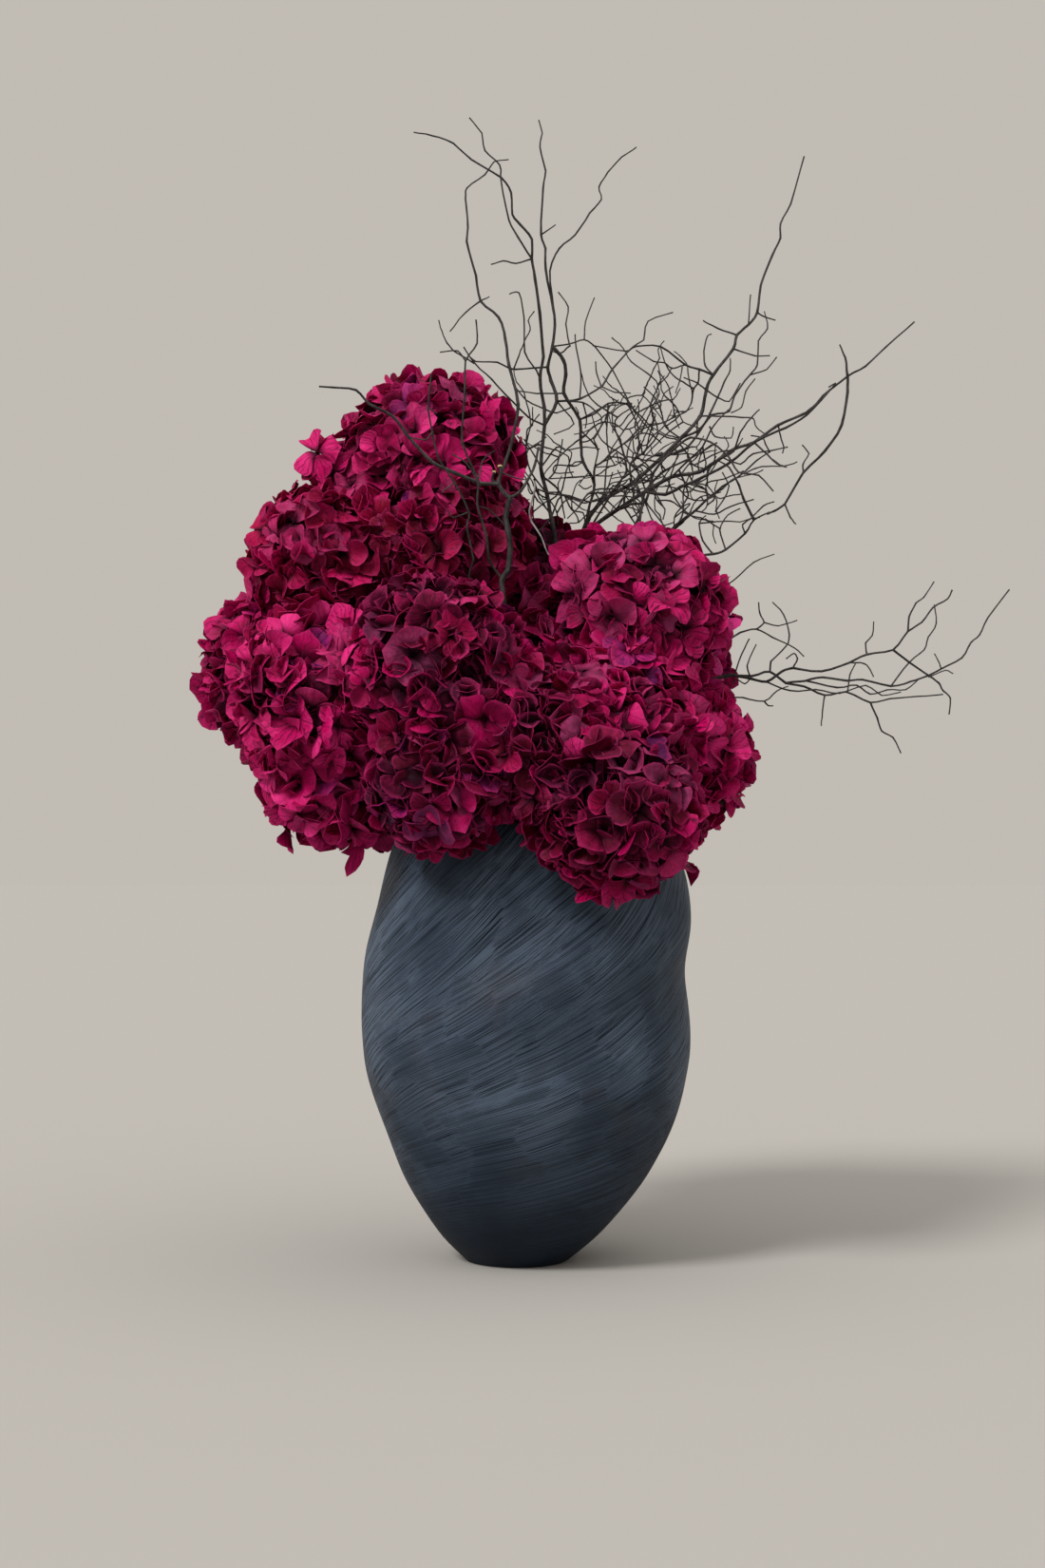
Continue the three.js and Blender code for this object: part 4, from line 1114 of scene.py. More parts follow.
SPRAY: list[Limb] = [
    (2.4, 1.8, 0, [(68, 300, 24), (70, 372, 24), (84, 430, 30), (124, 482, 24), (160, 504, 14),
                   (188, 512, 6)]),
    (1.4, 0.7, -0.2, [(188, 512), (205, 509), (219, 506), (232, 515), (242, 518), (267, 515), (292, 523),
                      (307, 530), (330, 534), (343, 550), (355, 558), (365, 571), (378, 579), (382, 587)]),
    (0.9, 0.6, 0.3, [(343, 550), (344, 563), (350, 575), (357, 580), (366, 594)]),
    (1, 0.6, 0.3, [(330, 534), (344, 523), (362, 511), (370, 505), (374, 498), (380, 492), (379, 477)]),
    (0.8, 0.6, 0.3, [(307, 530), (306, 540), (312, 547), (313, 559)]),
    (0.8, 0.6, -0.3, [(292, 523), (305, 522), (310, 516), (313, 510)]),
    (1.3, 0.7, 0.25, [(188, 512), (206, 511), (222, 515), (236, 505), (252, 502), (270, 494), (289, 497),
                      (310, 488), (327, 491), (351, 493), (374, 495)]),
    (0.9, 0.6, 0.2, [(310, 488), (316, 474), (320, 463), (330, 457), (337, 443)]),
    (0.8, 0.6, -0.2, [(270, 494), (268, 480), (267, 467)]),
    (1.2, 0.7, 0.5, [(236, 505), (253, 507), (268, 510), (290, 507), (303, 508), (328, 502), (345, 506),
                     (360, 511), (372, 517), (390, 527), (398, 540), (406, 547), (413, 562), (432, 587)]),
    (0.8, 0.6, 0.2, [(328, 502), (344, 523), (357, 534), (361, 545), (368, 557), (366, 574)]),
    (0.9, 0.6, 0.6, [(253, 507), (281, 501), (298, 503), (310, 495), (325, 499), (341, 499), (353, 509)]),
    (0.9, 0.6, 0.6, [(160, 504), (188, 493), (198, 492), (217, 489), (228, 498), (238, 502)]),
    (0.9, 0.6, 0.4, [(222, 515), (223, 524), (236, 537), (239, 547), (234, 565), (224, 576)]),
    (1, 0.6, 0.3, [(160, 504), (176, 534), (196, 549), (210, 552), (224, 545), (243, 536), (252, 528)]),
    (0.8, 0.6, -0.4, [(210, 552), (217, 558), (213, 566), (212, 576)]),
    (0.7, 0.6, 0.3, [(217, 558), (229, 555), (246, 560)]),
    (0.8, 0.6, -0.3, [(242, 518), (246, 526), (243, 531), (236, 526)]),
    (0.8, 0.6, 0.2, [(217, 489), (221, 485), (225, 485)]),
    (0.8, 0.6, 0.4, [(205, 509), (202, 520), (210, 539)]),
    (0.7, 0.6, 0.2, [(190, 510), (197, 530), (204, 544)]),
    (0.7, 0.6, 0.1, [(290, 497), (292, 512), (297, 522)]),
    (0.7, 0.6, 0.1, [(372, 518), (370, 524), (366, 531)]),
    (0.7, 0.6, -0.1, [(361, 510), (376, 516), (383, 513)]),
    (0.7, 0.6, 0.1, [(206, 511), (200, 504), (193, 508), (188, 503)]),
    (0.8, 0.6, 0.3, [(219, 506), (240, 498), (262, 499), (283, 496), (306, 503), (320, 494), (337, 497)]),
]
# A thin peeled shoot that hangs in front of the flowers
PEELED_SHOOT: list[Limb] = [
    (0.9, 0.6, 0, [(15.5, 682, -96), (15, 671, -97), (11, 657, -98), (13, 646, -99), (20, 636, -100),
                   (24, 626, -100), (28, 617, -100)]),
]


def in_space(x: float, z: float, depth: float) -> Vector:
    """Returns the point at a depth behind the foot's upright plane that EYE sees at (x, z), in mm."""
    away = (depth - EYE.y) / -EYE.y
    return (Vector((x, 0, z)) - EYE) * away + EYE


@dataclass
class Branch:
    """One cut branch: its listed limbs, and fine twigs that grow from their waypoints."""

    name: str
    limbs: list[Limb]
    nodes: list[str]
    finish: Finish = BARK
    girth: float = 1.0
    # The fine twigs: how many, between which heights and how far right they may start
    twigs: int = 0
    twig_band: tuple[float, float] = (640.0, 780.0)
    twig_span: float = 165.0
    twig_crowding: float = 1.6
    # Their first way in x, y and z as (mean, spread), and how much they turn at each joint
    twig_way: tuple[tuple[float, float], ...] = ((0.3, 0.9), (0.0, 0.5), (0.5, 0.8))
    twig_crook: tuple[float, float, float] = (0.36, 0.2, 0.36)
    twig_joints: tuple[int, int] = (3, 7)
    twig_stride: tuple[float, float] = (6.0, 13.0)
    twig_radii: tuple[float, float] = (0.8, 0.5)
    steps: int = 3
    roundness: float = 0.8
    knot: float = 0.16
    wander: float = 0.25
    graft: float = 6.0
    tip_back: float = 0.3
    merge_within: float = 0.002
    crease: float = 60.0
    seed: int = 5

    def rooted(self, at: tuple[float, float], grown: list[list[tuple[float, float, float]]]) -> float:
        """Finds how deep a limb starts.

        Args:
            at: The (x, z) of its first waypoint.
            grown: The waypoints of the earlier limbs.

        Returns:
            The depth of the earlier limb that passes nearest, or 0 if none passes within graft.
        """
        best, depth = self.graft, 0.0
        for limb in grown:
            for start, end in zip(limb, limb[1:]):
                run = (end[0] - start[0], end[1] - start[1])
                share = ((at[0] - start[0]) * run[0] + (at[1] - start[1]) * run[1]) / math.hypot(*run) ** 2
                share = min(max(share, 0), 1)
                apart = math.hypot(start[0] + run[0] * share - at[0], start[1] + run[1] * share - at[1])
                if apart < best:
                    best, depth = apart, start[2] + (end[2] - start[2]) * share
        return depth

    def routes(self) -> list[tuple[list[Vector], float, float]]:
        """Stands every listed limb in space.

        Returns:
            Each limb's waypoints, and its radius at root and tip.
        """
        grown: list[list[tuple[float, float, float]]] = []
        found = []
        for root, tip, drift, waypoints in self.limbs:
            depth = 0.0 if len(waypoints[0]) > 2 else self.rooted(waypoints[0][:2], grown)
            limb = []
            for i, (x, z, *given) in enumerate(waypoints):
                if i:
                    depth += drift * math.hypot(x - waypoints[i - 1][0], z - waypoints[i - 1][1])
                depth = given[0] if given else depth
                limb.append((x, z, depth))
            grown.append(limb)
            found.append(([in_space(*at) for at in limb], root, tip))
        return found

    def sprouts(
        self, grown: list[tuple[list[Vector], float, float]], rng: random.Random
    ) -> list[tuple[list[Vector], float, float]]:
        """Grows fine, crooked side twigs from the limbs, where the branch is a tangle.

        Args:
            grown: The limbs so far.
            rng: The branch's source of chance.

        Returns:
            Each twig's waypoints in space, with its radius at root and tip, in mm.
        """
        low, high = self.twig_band
        roots = [
            point for points, _, _ in grown for point in points[1:-1]
            if low < point.z < high and point.x < self.twig_span
        ]
        roots.sort(key=lambda point: point.z)
        found = []
        for _ in range(min(self.twigs, len(roots))):
            # More of them are low down, where the branches cross.
            route = [roots.pop(int(len(roots) * rng.random() ** self.twig_crowding))]
            way = Vector([rng.gauss(mean, spread) for mean, spread in self.twig_way]).normalized()
            for _ in range(rng.randrange(*self.twig_joints)):
                way = (way + Vector([rng.gauss(0, spread) for spread in self.twig_crook])).normalized()
                route.append(route[-1] + way * rng.uniform(*self.twig_stride))
            found.append((route, *self.twig_radii))
        return found

    def smoothed(self, points: list[Vector]) -> list[tuple[Vector, float]]:
        """Rounds the corners of a route a little.

        Args:
            points: The route's waypoints.

        Returns:
            Points along it, each with 1 at a waypoint and 0 halfway to the next.
        """
        route = []
        last = len(points) - 1
        for i in range(last):
            before, after = points[max(i - 1, 0)], points[min(i + 2, last)]
            start, end = points[i], points[i + 1]
            lead = (end - before) * (0.5 if i else 1.0) * self.roundness
            tail = (after - start) * 0.5 * self.roundness
            length = (end - start).length
            lead *= min(1, length / max(lead.length, 0.01))
            tail *= min(1, length / max(tail.length, 0.01))
            for step in range(self.steps):
                u = step / self.steps
                v = 1 - u
                at = start * v * v * (1 + 2 * u) + end * u * u * (3 - 2 * u)
                route.append((at + lead * u * v * v - tail * u * u * v, abs(2 * u - 1)))
        route.append((points[-1], 1.0))
        return route

    def build(self) -> bpy.types.Object:
        """Sweeps every limb as a tapering tube, knotted at its waypoints.

        Returns:
            The branch.
        """
        rng = random.Random(self.seed)
        curve = bpy.data.curves.new(self.name, "CURVE")
        curve.dimensions = "3D"
        curve.bevel_depth = MM
        curve.bevel_resolution = 1
        curve.use_fill_caps = True
        grown = self.routes()
        for points, root, tip in grown + self.sprouts(grown, random.Random(self.seed + 1)):
            points = points[:-1] + [points[-1] + (points[-2] - points[-1]).normalized() * self.tip_back]
            route = self.smoothed(points)
            spline = curve.splines.new("POLY")
            spline.points.add(len(route) - 1)
            for i, (at, knot) in enumerate(route):
                share = i / (len(route) - 1)
                radius = (root + (tip - root) * share) * self.girth
                wander = Vector([rng.uniform(-1, 1) for _ in range(3)]) * self.wander
                if i in (0, len(route) - 1):
                    wander = Vector((0, 0, 0))
                spline.points[i].co = (*((at + wander) * MM), 1)
                spline.points[i].radius = radius * (1 + self.knot * (knot - 0.5) * 2 * rng.random())
        branch = bpy.data.objects.new(self.name, curve)
        link(branch)
        activate(branch)
        bpy.ops.object.convert(target="MESH")
        branch = bpy.context.object
        merge(branch, self.merge_within)
        smooth_below(branch, self.crease)
        return mount(branch, self.finish, self.nodes)


@dataclass
class CutEnds:
    """The two pale sawn ends that face the viewer where the front branch was pruned."""

    # Each end as (x, z, radius, depth)
    places: tuple[tuple[float, float, float, float], ...] = (
        (-15, 695, 1.9, -100), (-20, 690, 1.6, -100),
    )
    around: int = 16
    thickness: float = 1.4
    tilt: float = 38.0
    bevel: float = 0.3
    crease: float = 40.0

    def build(self) -> bpy.types.Object:
        """Caps each pruned limb with a bevelled disc of bare wood.

        Returns:
            The caps, as one piece.
        """
        caps = []
        for x, z, radius, depth in self.places:
            deselect()
            bpy.ops.mesh.primitive_cylinder_add(
                vertices=self.around, radius=radius * MM, depth=self.thickness * MM,
                location=in_space(x, z, depth) * MM, rotation=(math.radians(self.tilt), 0, 0),
            )
            cap = bpy.context.object
            apply_modifier(cap, "BEVEL", width=self.bevel * MM, segments=2)
            bpy.ops.object.transform_apply(location=True, rotation=True, scale=True)
            caps.append(cap)
        piece = join(caps, "branch_front_cut_ends")
        smooth_below(piece, self.crease)
        return mount(piece, CUT_WOOD, [])


@dataclass
class Stems:
    """The woody flower stems, made round from the square rods that stand in the packing."""

    levels: int = 2

    def build(self) -> None:
        """Rounds a copy of each stem's rod."""
        for node in sorted(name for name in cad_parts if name.startswith("stem_")):
            stem = bpy.data.objects.new("flower_" + node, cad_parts[node].data.copy())
            link(stem)
            merge(stem, NEAR)
            bpy.ops.object.mode_set(mode="EDIT")
            bpy.ops.mesh.tris_convert_to_quads()
            bpy.ops.object.mode_set(mode="OBJECT")
            apply_modifier(stem, "SUBSURF", levels=self.levels, render_levels=self.levels)
            bpy.ops.object.shade_smooth()
            mount(stem, STALK, [node])


# ---- Hydrangea heads ----


class Colouring(NamedTuple):
    """How a head has taken its dye and dried."""

    tone: float
    spread: float
    plum: float
    crimson: float
    openness: float
    floret_size: float


class Dye(Enum):
    """The dyes of the heads, from the brightest to the darkest; the darkest also paints shade on the low
    front heads.
    """

    HOT = Colouring(0.56, 0.18, 0.05, 0.0, 1.5, 1.06)
    BRIGHT = Colouring(0.5, 0.2, 0.05, 0.03, 1.3, 1.03)
    CRIMSON = Colouring(0.43, 0.19, 0.02, 0.4, 0.9, 0.95)
    WINE = Colouring(0.28, 0.29, 0.02, 0.3, 0.8, 0.93)
    DUSKY = Colouring(0.27, 0.27, 0.05, 0.05, 0.55, 0.9)
    # Darker as painted shade, for the low front heads
    SOMBRE = Colouring(0.21, 0.26, 0.05, 0.1, 0.6, 0.92)


@dataclass
class Head:
    """One mophead: where it is, how big it is and how it has taken its dye."""

    name: str
    centre: tuple[float, float, float]
    radius: float
    dye: Dye


HEADS = [
    Head("top", (-76, 0, 692), 82, Dye.BRIGHT),
    Head("upper_left", (-166, -20, 609), 68, Dye.CRIMSON),
    Head("upper_front", (-64, -36, 621), 75, Dye.WINE),
    Head("far_left", (-206, 10, 514), 74, Dye.HOT),
    Head("left_front", (-168, -85, 492), 70, Dye.HOT),
    Head("lower_left", (-158, -55, 425), 65, Dye.HOT),
    Head("left_back", (-172, 40, 438), 60, Dye.CRIMSON),
    Head("front", (-65, -130, 505), 78, Dye.DUSKY),
    Head("lower_front", (-67, -140, 413), 59, Dye.SOMBRE),
    Head("centre", (10, -134, 447), 64, Dye.SOMBRE),
    Head("centre_right", (88, -115, 460), 62, Dye.HOT),
    Head("right_front", (102, -60, 556), 78, Dye.BRIGHT),
    Head("lower_right", (78, -157, 388), 69, Dye.SOMBRE),
    # Its dye is made brighter as painted light, against the shade that falls on it.
    Head("right", (135, -57, 435), 64, Dye.HOT),
    Head("middle", (20, 80, 585), 72, Dye.DUSKY),
    Head("back_left", (-115, 100, 580), 85, Dye.CRIMSON),
    Head("back_low_left", (-125, 115, 435), 72, Dye.BRIGHT),
    Head("back", (-5, 138, 470), 76, Dye.DUSKY),
    Head("back_right", (118, 80, 540), 78, Dye.BRIGHT),
    Head("back_low_right", (120, 85, 430), 72, Dye.CRIMSON),
]


class Bloom(Enum):
    """How far a floret has opened: the least and most rise of its sepals and their curl, in degrees."""

    FLAT = (4, 28, -34)
    CUPPED = (28, 60, -44)
    SHUT = (56, 84, -30)


@dataclass
class Floret:
    """One four-sepalled floret at its real size, facing +Z with its heart at the origin."""

    seed: int
    bloom: Bloom
    reach: float = 23.5
    thickness: float = 0.32
    across: int = 4
    lengthways: int = 5
    bare: bool = False
    crease: float = 55.0
    # What chance gives each sepal, against the floret's reach where it is a length
    length: tuple[float, float] = (0.82, 1.08)
    width: tuple[float, float] = (0.5, 0.66)
    more_curl: tuple[float, float] = (-38.0, 34.0)
    gutter: tuple[float, float] = (0.0, 0.7)
    upturned: float = 0.7
    downturn: float = -0.7
    ruffle: tuple[float, float] = (0.04, 0.12)
    waves: tuple[float, float] = (2.0, 4.5)
    skew: tuple[float, float] = (-0.2, 0.2)
    roll: tuple[float, float] = (-0.5, 0.5)
    tip: tuple[float, float] = (0.0, 0.16)
    off_quarter: tuple[float, float] = (-0.14, 0.14)
    own_tone: tuple[float, float] = (-0.15, 0.15)
    # Two sepals stand a little behind the other two
    rise_by_turns: tuple[float, float] = (-4.0, 6.0)
    # The bud's radius, and the stalk's radii at its foot and top and its length
    bud: float = 1.7
    stalk: tuple[float, float, float] = (0.6, 1.2, 14.0)

    def sepal(self, rng: random.Random, quarter: int) -> bpy.types.Object:
        """Shapes one sepal from a small grid.

        Args:
            rng: The floret's source of chance.
            quarter: Which of the four places round the heart it takes.

        Returns:
            The sepal, solid and in its place.
        """
        deselect()
        bpy.ops.mesh.primitive_grid_add(
            x_subdivisions=self.across, y_subdivisions=self.lengthways, size=2, calc_uvs=True
        )
        sepal = bpy.context.object
        low, high, curl = self.bloom.value
        length = rng.uniform(*self.length)
        width = rng.uniform(*self.width)
        rise = math.radians(rng.uniform(low, high) + self.rise_by_turns[quarter % 2])
        bend = math.radians(curl + rng.uniform(*self.more_curl)) or 0.01
        gutter = rng.uniform(*self.gutter) * (1 if rng.random() < self.upturned else self.downturn)
        ruffle = rng.uniform(*self.ruffle)
        waves = rng.uniform(*self.waves)
        phase = rng.uniform(0, 2 * math.pi)
        skew = rng.uniform(*self.skew)
        roll = rng.uniform(*self.roll)
        tip = rng.uniform(*self.tip)
        turn = (quarter + rng.uniform(*self.off_quarter)) * math.pi / 2
        cos, sin = math.cos(turn), math.sin(turn)
        for vertex in sepal.data.vertices:
            # The square grid is drawn in to a disc, and the disc to a sepal with a narrow foot.
            u, v = vertex.co.x, vertex.co.y
            x = u * math.sqrt(1 - v * v / 2)
            y = v * math.sqrt(1 - u * u / 2)
            far = (y + 1) / 2
            wide = width * (0.14 + 0.86 * smooth_step(far, -0.15, 0.6))
            steep = rise + bend * far
            out = (math.sin(steep) - math.sin(rise)) / bend * length + 0.04
            up = (math.cos(rise) - math.cos(steep)) / bend * length
            edge = x * x + max(y, 0) ** 2
            lift = (
                gutter * abs(x) ** 1.4 * wide * smooth_step(far, 0, 0.4)
                + roll * x * far * wide
                + ruffle * edge * math.sin(waves * math.atan2(x, y + 1.2) * 2 + phase)
            )
            side = x * wide * (1 - 0.2 * abs(gutter)) + skew * far * far * 0.5
            point = tip * max(1 - 3 * abs(x), 0) * smooth_step(far, 0.75, 1)
            out += point * math.cos(steep) - lift * math.sin(steep)
            up += point * math.sin(steep) + lift * math.cos(steep)
            vertex.co = Vector((out * cos - side * sin, out * sin + side * cos, up)) * (self.reach * MM)
        front = len(sepal.data.vertices)
        apply_modifier(sepal, "SOLIDIFY", thickness=self.thickness * MM, offset=0)
        points = len(sepal.data.vertices)
        dust = sepal.data.attributes.new("dust", "FLOAT", "POINT")
        dust.data.foreach_set("value", [float(i >= front) for i in range(points)])
        own = sepal.data.attributes.new("own_tone", "FLOAT", "POINT")
        own.data.foreach_set("value", [rng.uniform(*self.own_tone)] * points)
        return sepal

    def heart(self) -> list[bpy.types.Object]:
        """Makes the floret's heart.

        Returns:
            The bud in the middle and the stalk behind it.
        """
        foot, top, length = self.stalk
        deselect()
        bpy.ops.mesh.primitive_ico_sphere_add(
            subdivisions=1, radius=self.bud * MM, location=(0, 0, 0.8 * MM)
        )
        bud = bpy.context.object
        deselect()
        bpy.ops.mesh.primitive_cone_add(
            vertices=4, radius1=foot * MM, radius2=top * MM, depth=length * MM,
            location=(0, 0, -length / 2 * MM),
        )
        stalk = bpy.context.object
        for piece in (bud, stalk):
            activate(piece)
            bpy.ops.object.transform_apply(location=True, rotation=True, scale=True)
            piece.data.attributes.new("dust", "FLOAT", "POINT")
            piece.data.attributes.new("own_tone", "FLOAT", "POINT")
            for loop in piece.data.uv_layers.active.data:
                loop.uv = (0.5, 0.0)
        return [bud, stalk]

    def build(self) -> bpy.types.Object:
        """Joins four sepals, with a bud and a stalk unless it is bare.

        Returns:
            The floret.
        """
        rng = random.Random(self.seed * 101 + 7)
        sepals = [self.sepal(rng, quarter) for quarter in range(4)]
        pieces = sepals if self.bare else sepals + self.heart()
        floret = join(pieces, f"floret_{self.seed}")
        activate(floret)
        bpy.ops.object.mode_set(mode="EDIT")
        bpy.ops.mesh.select_all(action="SELECT")
        bpy.ops.mesh.normals_make_consistent(inside=False)
        bpy.ops.object.mode_set(mode="OBJECT")
        smooth_below(floret, self.crease)
        return floret


@dataclass
class Mopheads:
    """All the hydrangea heads, their florets set over them by one rule."""

    vase: Vase
    spacing: float = 20.5
    # The dark heart, which paints in the shade inside a head: its radius, against the head's, and how far it
    # stops short of a neighbour
    core_share: float = 0.66
    core_gap: float = 1.0
    neighbourly: float = 30.0
    past_seam: float = 9.0
    shallow_seam: float = 0.95
    seam_lift: float = 11.0
    clear_of_vase: float = 8.0
    lie_on_vase: float = 1.4
    pressed: float = 0.06
    # How florets are set: off their even places, leaning, sunk by a share of the reach and of their height
    jitter: float = 0.05
    lean: float = 0.42
    depth: tuple[float, float] = (0.89, 1.02)
    sunk: float = 0.85
    sizes: tuple[float, float] = (0.84, 1.18)
    proud: float = 1.5
    lumps: float = 8.0
    lump_size: float = 36.0
    # How the florets are darkened inwards as painted shade: per mm, from how deep and for how far, and on the
    # inner layer
    shade: float = 0.044
    shade_from: float = 1.0
    shade_to: float = 16.0
    inner_shade: float = 0.1
    # Brighter florets: how many, and how much
    glow: tuple[float, float] = (0.1, 0.16)
    veins: tuple[float, float] = (0.15, 0.85)
    crimson_spread: tuple[float, float] = (-0.2, 0.2)
    plum: tuple[float, float] = (0.15, 0.45)
    old_share: float = 0.16
    old_fade: tuple[float, float] = (0.2, 0.6)
    back_fade: tuple[float, float] = (0.0, 0.16)
    # Florets that stand out from the rest: (head, where its tips are, the way it faces)
    strays: tuple[tuple[str, tuple[float, float, float], tuple[float, float, float]], ...] = (
        ("top", (-174, -40, 701), (-0.4, -1, 0.2)), ("top", (-162, -44, 683), (-0.3, -1, 0.0)),
        ("top", (-183, -32, 685), (-0.7, -1, 0.1)), ("top", (-162, -36, 710), (-0.4, -1, 0.5)),
        ("top", (-148, -44, 697), (-0.3, -1, 0.1)), ("top", (-158, -24, 671), (-0.6, -1, -0.1)),
        ("top", (-174, -10, 693), (-1, -0.4, 0.2)), ("top", (-166, 4, 677), (-1, 0, 0)),
        ("middle", (16, -72, 576), (0, -1, 0.2)), ("middle", (30, -70, 562), (0.1, -1, 0.1)),
        ("middle", (10, -78, 556), (-0.1, -1, 0)), ("middle", (25, -80, 542), (0, -1, 0)),
        ("middle", (12, -84, 530), (-0.2, -1, 0)), ("middle", (38, -74, 548), (0.1, -1, 0)),
        ("middle", (32, -58, 582), (0, -1, 0.5)), ("middle", (19, -56, 594), (0, -1, 0.6)),
        ("middle", (42, -80, 530), (0, -1, 0)),
    )
    # Where a long, curled sepal hangs from, how it is turned about Y and X, and how it is stretched
    hanging_from: tuple[float, float, float] = (-133, -64, 374)
    hanging_turns: tuple[float, float] = (108.0, 65.0)
    hanging_shape: tuple[float, float, float] = (1.75, 0.42, 1.0)
    hanging_seed: int = 3
    # The outer and the inner layer: (share of the head's radius, spacing against the outer layer's)
    layers: tuple[tuple[float, float], ...] = ((1.0, 1.0), (0.83, 1.25))
    # How many florets of each kind are modelled; heads more open take more of the first ones
    kinds: tuple[tuple[Bloom, int], ...] = ((Bloom.FLAT, 7), (Bloom.CUPPED, 6), (Bloom.SHUT, 4))
    inner_seed: int = 40
    florets: list[list[bpy.types.Object]] = field(default_factory=list)

    def seams(self, head: Head) -> list[tuple[Vector, float]]:
        """Finds the flat seams between a head and its neighbours.

        Args:
            head: The head.

        Returns:
            Each seam's normal and its distance from the head's centre.
        """
        centre = Vector(head.centre)
        found = []
        for other in HEADS:
            towards = Vector(other.centre) - centre
            apart = towards.length
            if other is head or apart > head.radius + other.radius + self.neighbourly:
                continue
            out = (apart * apart + head.radius**2 - other.radius**2) / (2 * apart)
            found.append((towards.normalized(), out))
        return found

    def in_vase(self, place: Vector) -> bool:
        """Tells whether a floret's heart would be too near the vase or in it.

        Args:
            place: Where the heart would be.

        Returns:
            True where the vase is in the way.
        """
        if place.z > RIM + self.clear_of_vase:
            return False
        x = place.x - along(VASE_LEAN, place.z)
        return math.hypot(x, place.y) < self.vase.radius(math.atan2(place.y, x), place.z) + self.clear_of_vase

    def dress(self, copy: bpy.types.Object, head: Head, rng: random.Random, layer: int) -> None:
        """Gives every point of a floret its tone, vein strength and turn of dye, and fades it.

        Args:
            copy: The floret.
            head: The head that it is on.
            rng: The head's source of chance.
            layer: 0 at the head's surface, and 1 on its inner layer.
        """
        dye = head.dye.value
        # Florets of the inner layer are darkened as painted shade.
        tone = dye.tone + rng.uniform(-dye.spread, dye.spread) - self.inner_shade * layer
        glowing, glow = self.glow
        if rng.random() < glowing:
            tone += glow
        veins = rng.uniform(*self.veins)
        turned = max(0, dye.crimson + rng.uniform(*self.crimson_spread))
        if rng.random() < dye.plum:
            turned = -rng.uniform(*self.plum)
        points = len(copy.data.vertices)
        own = np.zeros(points)
        copy.data.attributes["own_tone"].data.foreach_get("value", own)
        copy.data.attributes.remove(copy.data.attributes["own_tone"])
        tints = np.empty((points, 3))
        # Points that lie deep in the heads are darkened as painted shade.
        tints[:, 0] = tone + own - self.shade * self.painted_shade_depth(copy)
        tints[:, 1:] = veins, turned
        tint = copy.data.attributes.new("tint", "FLOAT_VECTOR", "POINT")
        tint.data.foreach_set("vector", tints.ravel())
        back = np.zeros(points)
        dust = copy.data.attributes["dust"].data
        dust.foreach_get("value", back)
        old = rng.uniform(*self.old_fade) if rng.random() < self.old_share else 0.0
        dust.foreach_set("value", old + back * rng.uniform(*self.back_fade))

    def painted_shade_depth(self, copy: bpy.types.Object) -> np.ndarray:
        """Measures how deep a floret's points lie in the heads, where they are darkened as painted shade.

        Args:
            copy: The floret.

        Returns:
            The depth of each point, in mm, less what stays bright.
        """
        places = np.empty(len(copy.data.vertices) * 3)
        copy.data.vertices.foreach_get("co", places)
        centres = np.array([head.centre for head in HEADS])
        radii = np.array([head.radius for head in HEADS])
        apart = np.linalg.norm(places.reshape(-1, 1, 3) / MM - centres, axis=2) - radii
        return np.clip(-apart.min(axis=1) - self.shade_from, 0, self.shade_to)

    def place(self, head: Head, index: int) -> list[bpy.types.Object]:
        """Sets florets over a head in two layers.

        Args:
            head: The head.
            index: Its number, which seeds its chance.

        Returns:
            The florets.
        """
        rng = random.Random(index * 7919 + 17)
        centre = Vector(head.centre)
        seams = self.seams(head)
        golden = math.pi * (3 - math.sqrt(5))
        placed = []
        for layer, (share, sparse) in enumerate(self.layers):
            reach = head.radius * share
            apart = self.spacing * head.dye.value.floret_size * sparse
            count = round(4 * math.pi * (reach / apart) ** 2)
            phase = rng.uniform(0, 2 * math.pi)
            for i in range(count):
                height = 1 - (2 * i + 1) / count
                level = math.sqrt(1 - height * height)
                turn = i * golden + phase
                out = Vector((level * math.cos(turn), level * math.sin(turn), height))
                out = (out + chance(rng, self.jitter)).normalized()
                beyond = any(out.dot(normal) * reach > edge + self.past_seam for normal, edge in seams)
                if not beyond:
                    placed.append(self.set_floret(head, rng, centre, out, reach, layer))
        for normal, edge in seams:
            placed += self.fill_seam(head, rng, normal, edge)
        for name, spot, way in self.strays:
            out = Vector(way).normalized()
            if name == head.name:
                placed.append(self.set_floret(head, rng, Vector(spot) - out * reach, out, reach, 0))
        if head.name == "lower_left":
            placed.append(self.hanging_sepal(head, rng))
        return [floret for floret in placed if floret]

    def hanging_sepal(self, head: Head, rng: random.Random) -> bpy.types.Object:
        """Hangs one long sepal, on its way to dropping, from under a head.

        Args:
            head: The head.
            rng: The head's source of chance.

        Returns:
            The sepal.
        """
        seed = self.hanging_seed
        sepal = Floret(seed, Bloom.FLAT).sepal(random.Random(seed), 0)
        about_y, about_x = (math.radians(turn) for turn in self.hanging_turns)
        down = Quaternion((0, 1, 0), about_y) @ Quaternion((1, 0, 0), about_x)
        place = Vector(self.hanging_from) * MM
        sepal.data.transform(Matrix.LocRotScale(place, down, Vector(self.hanging_shape)))
        self.dress(sepal, head, rng, 0)
        return sepal

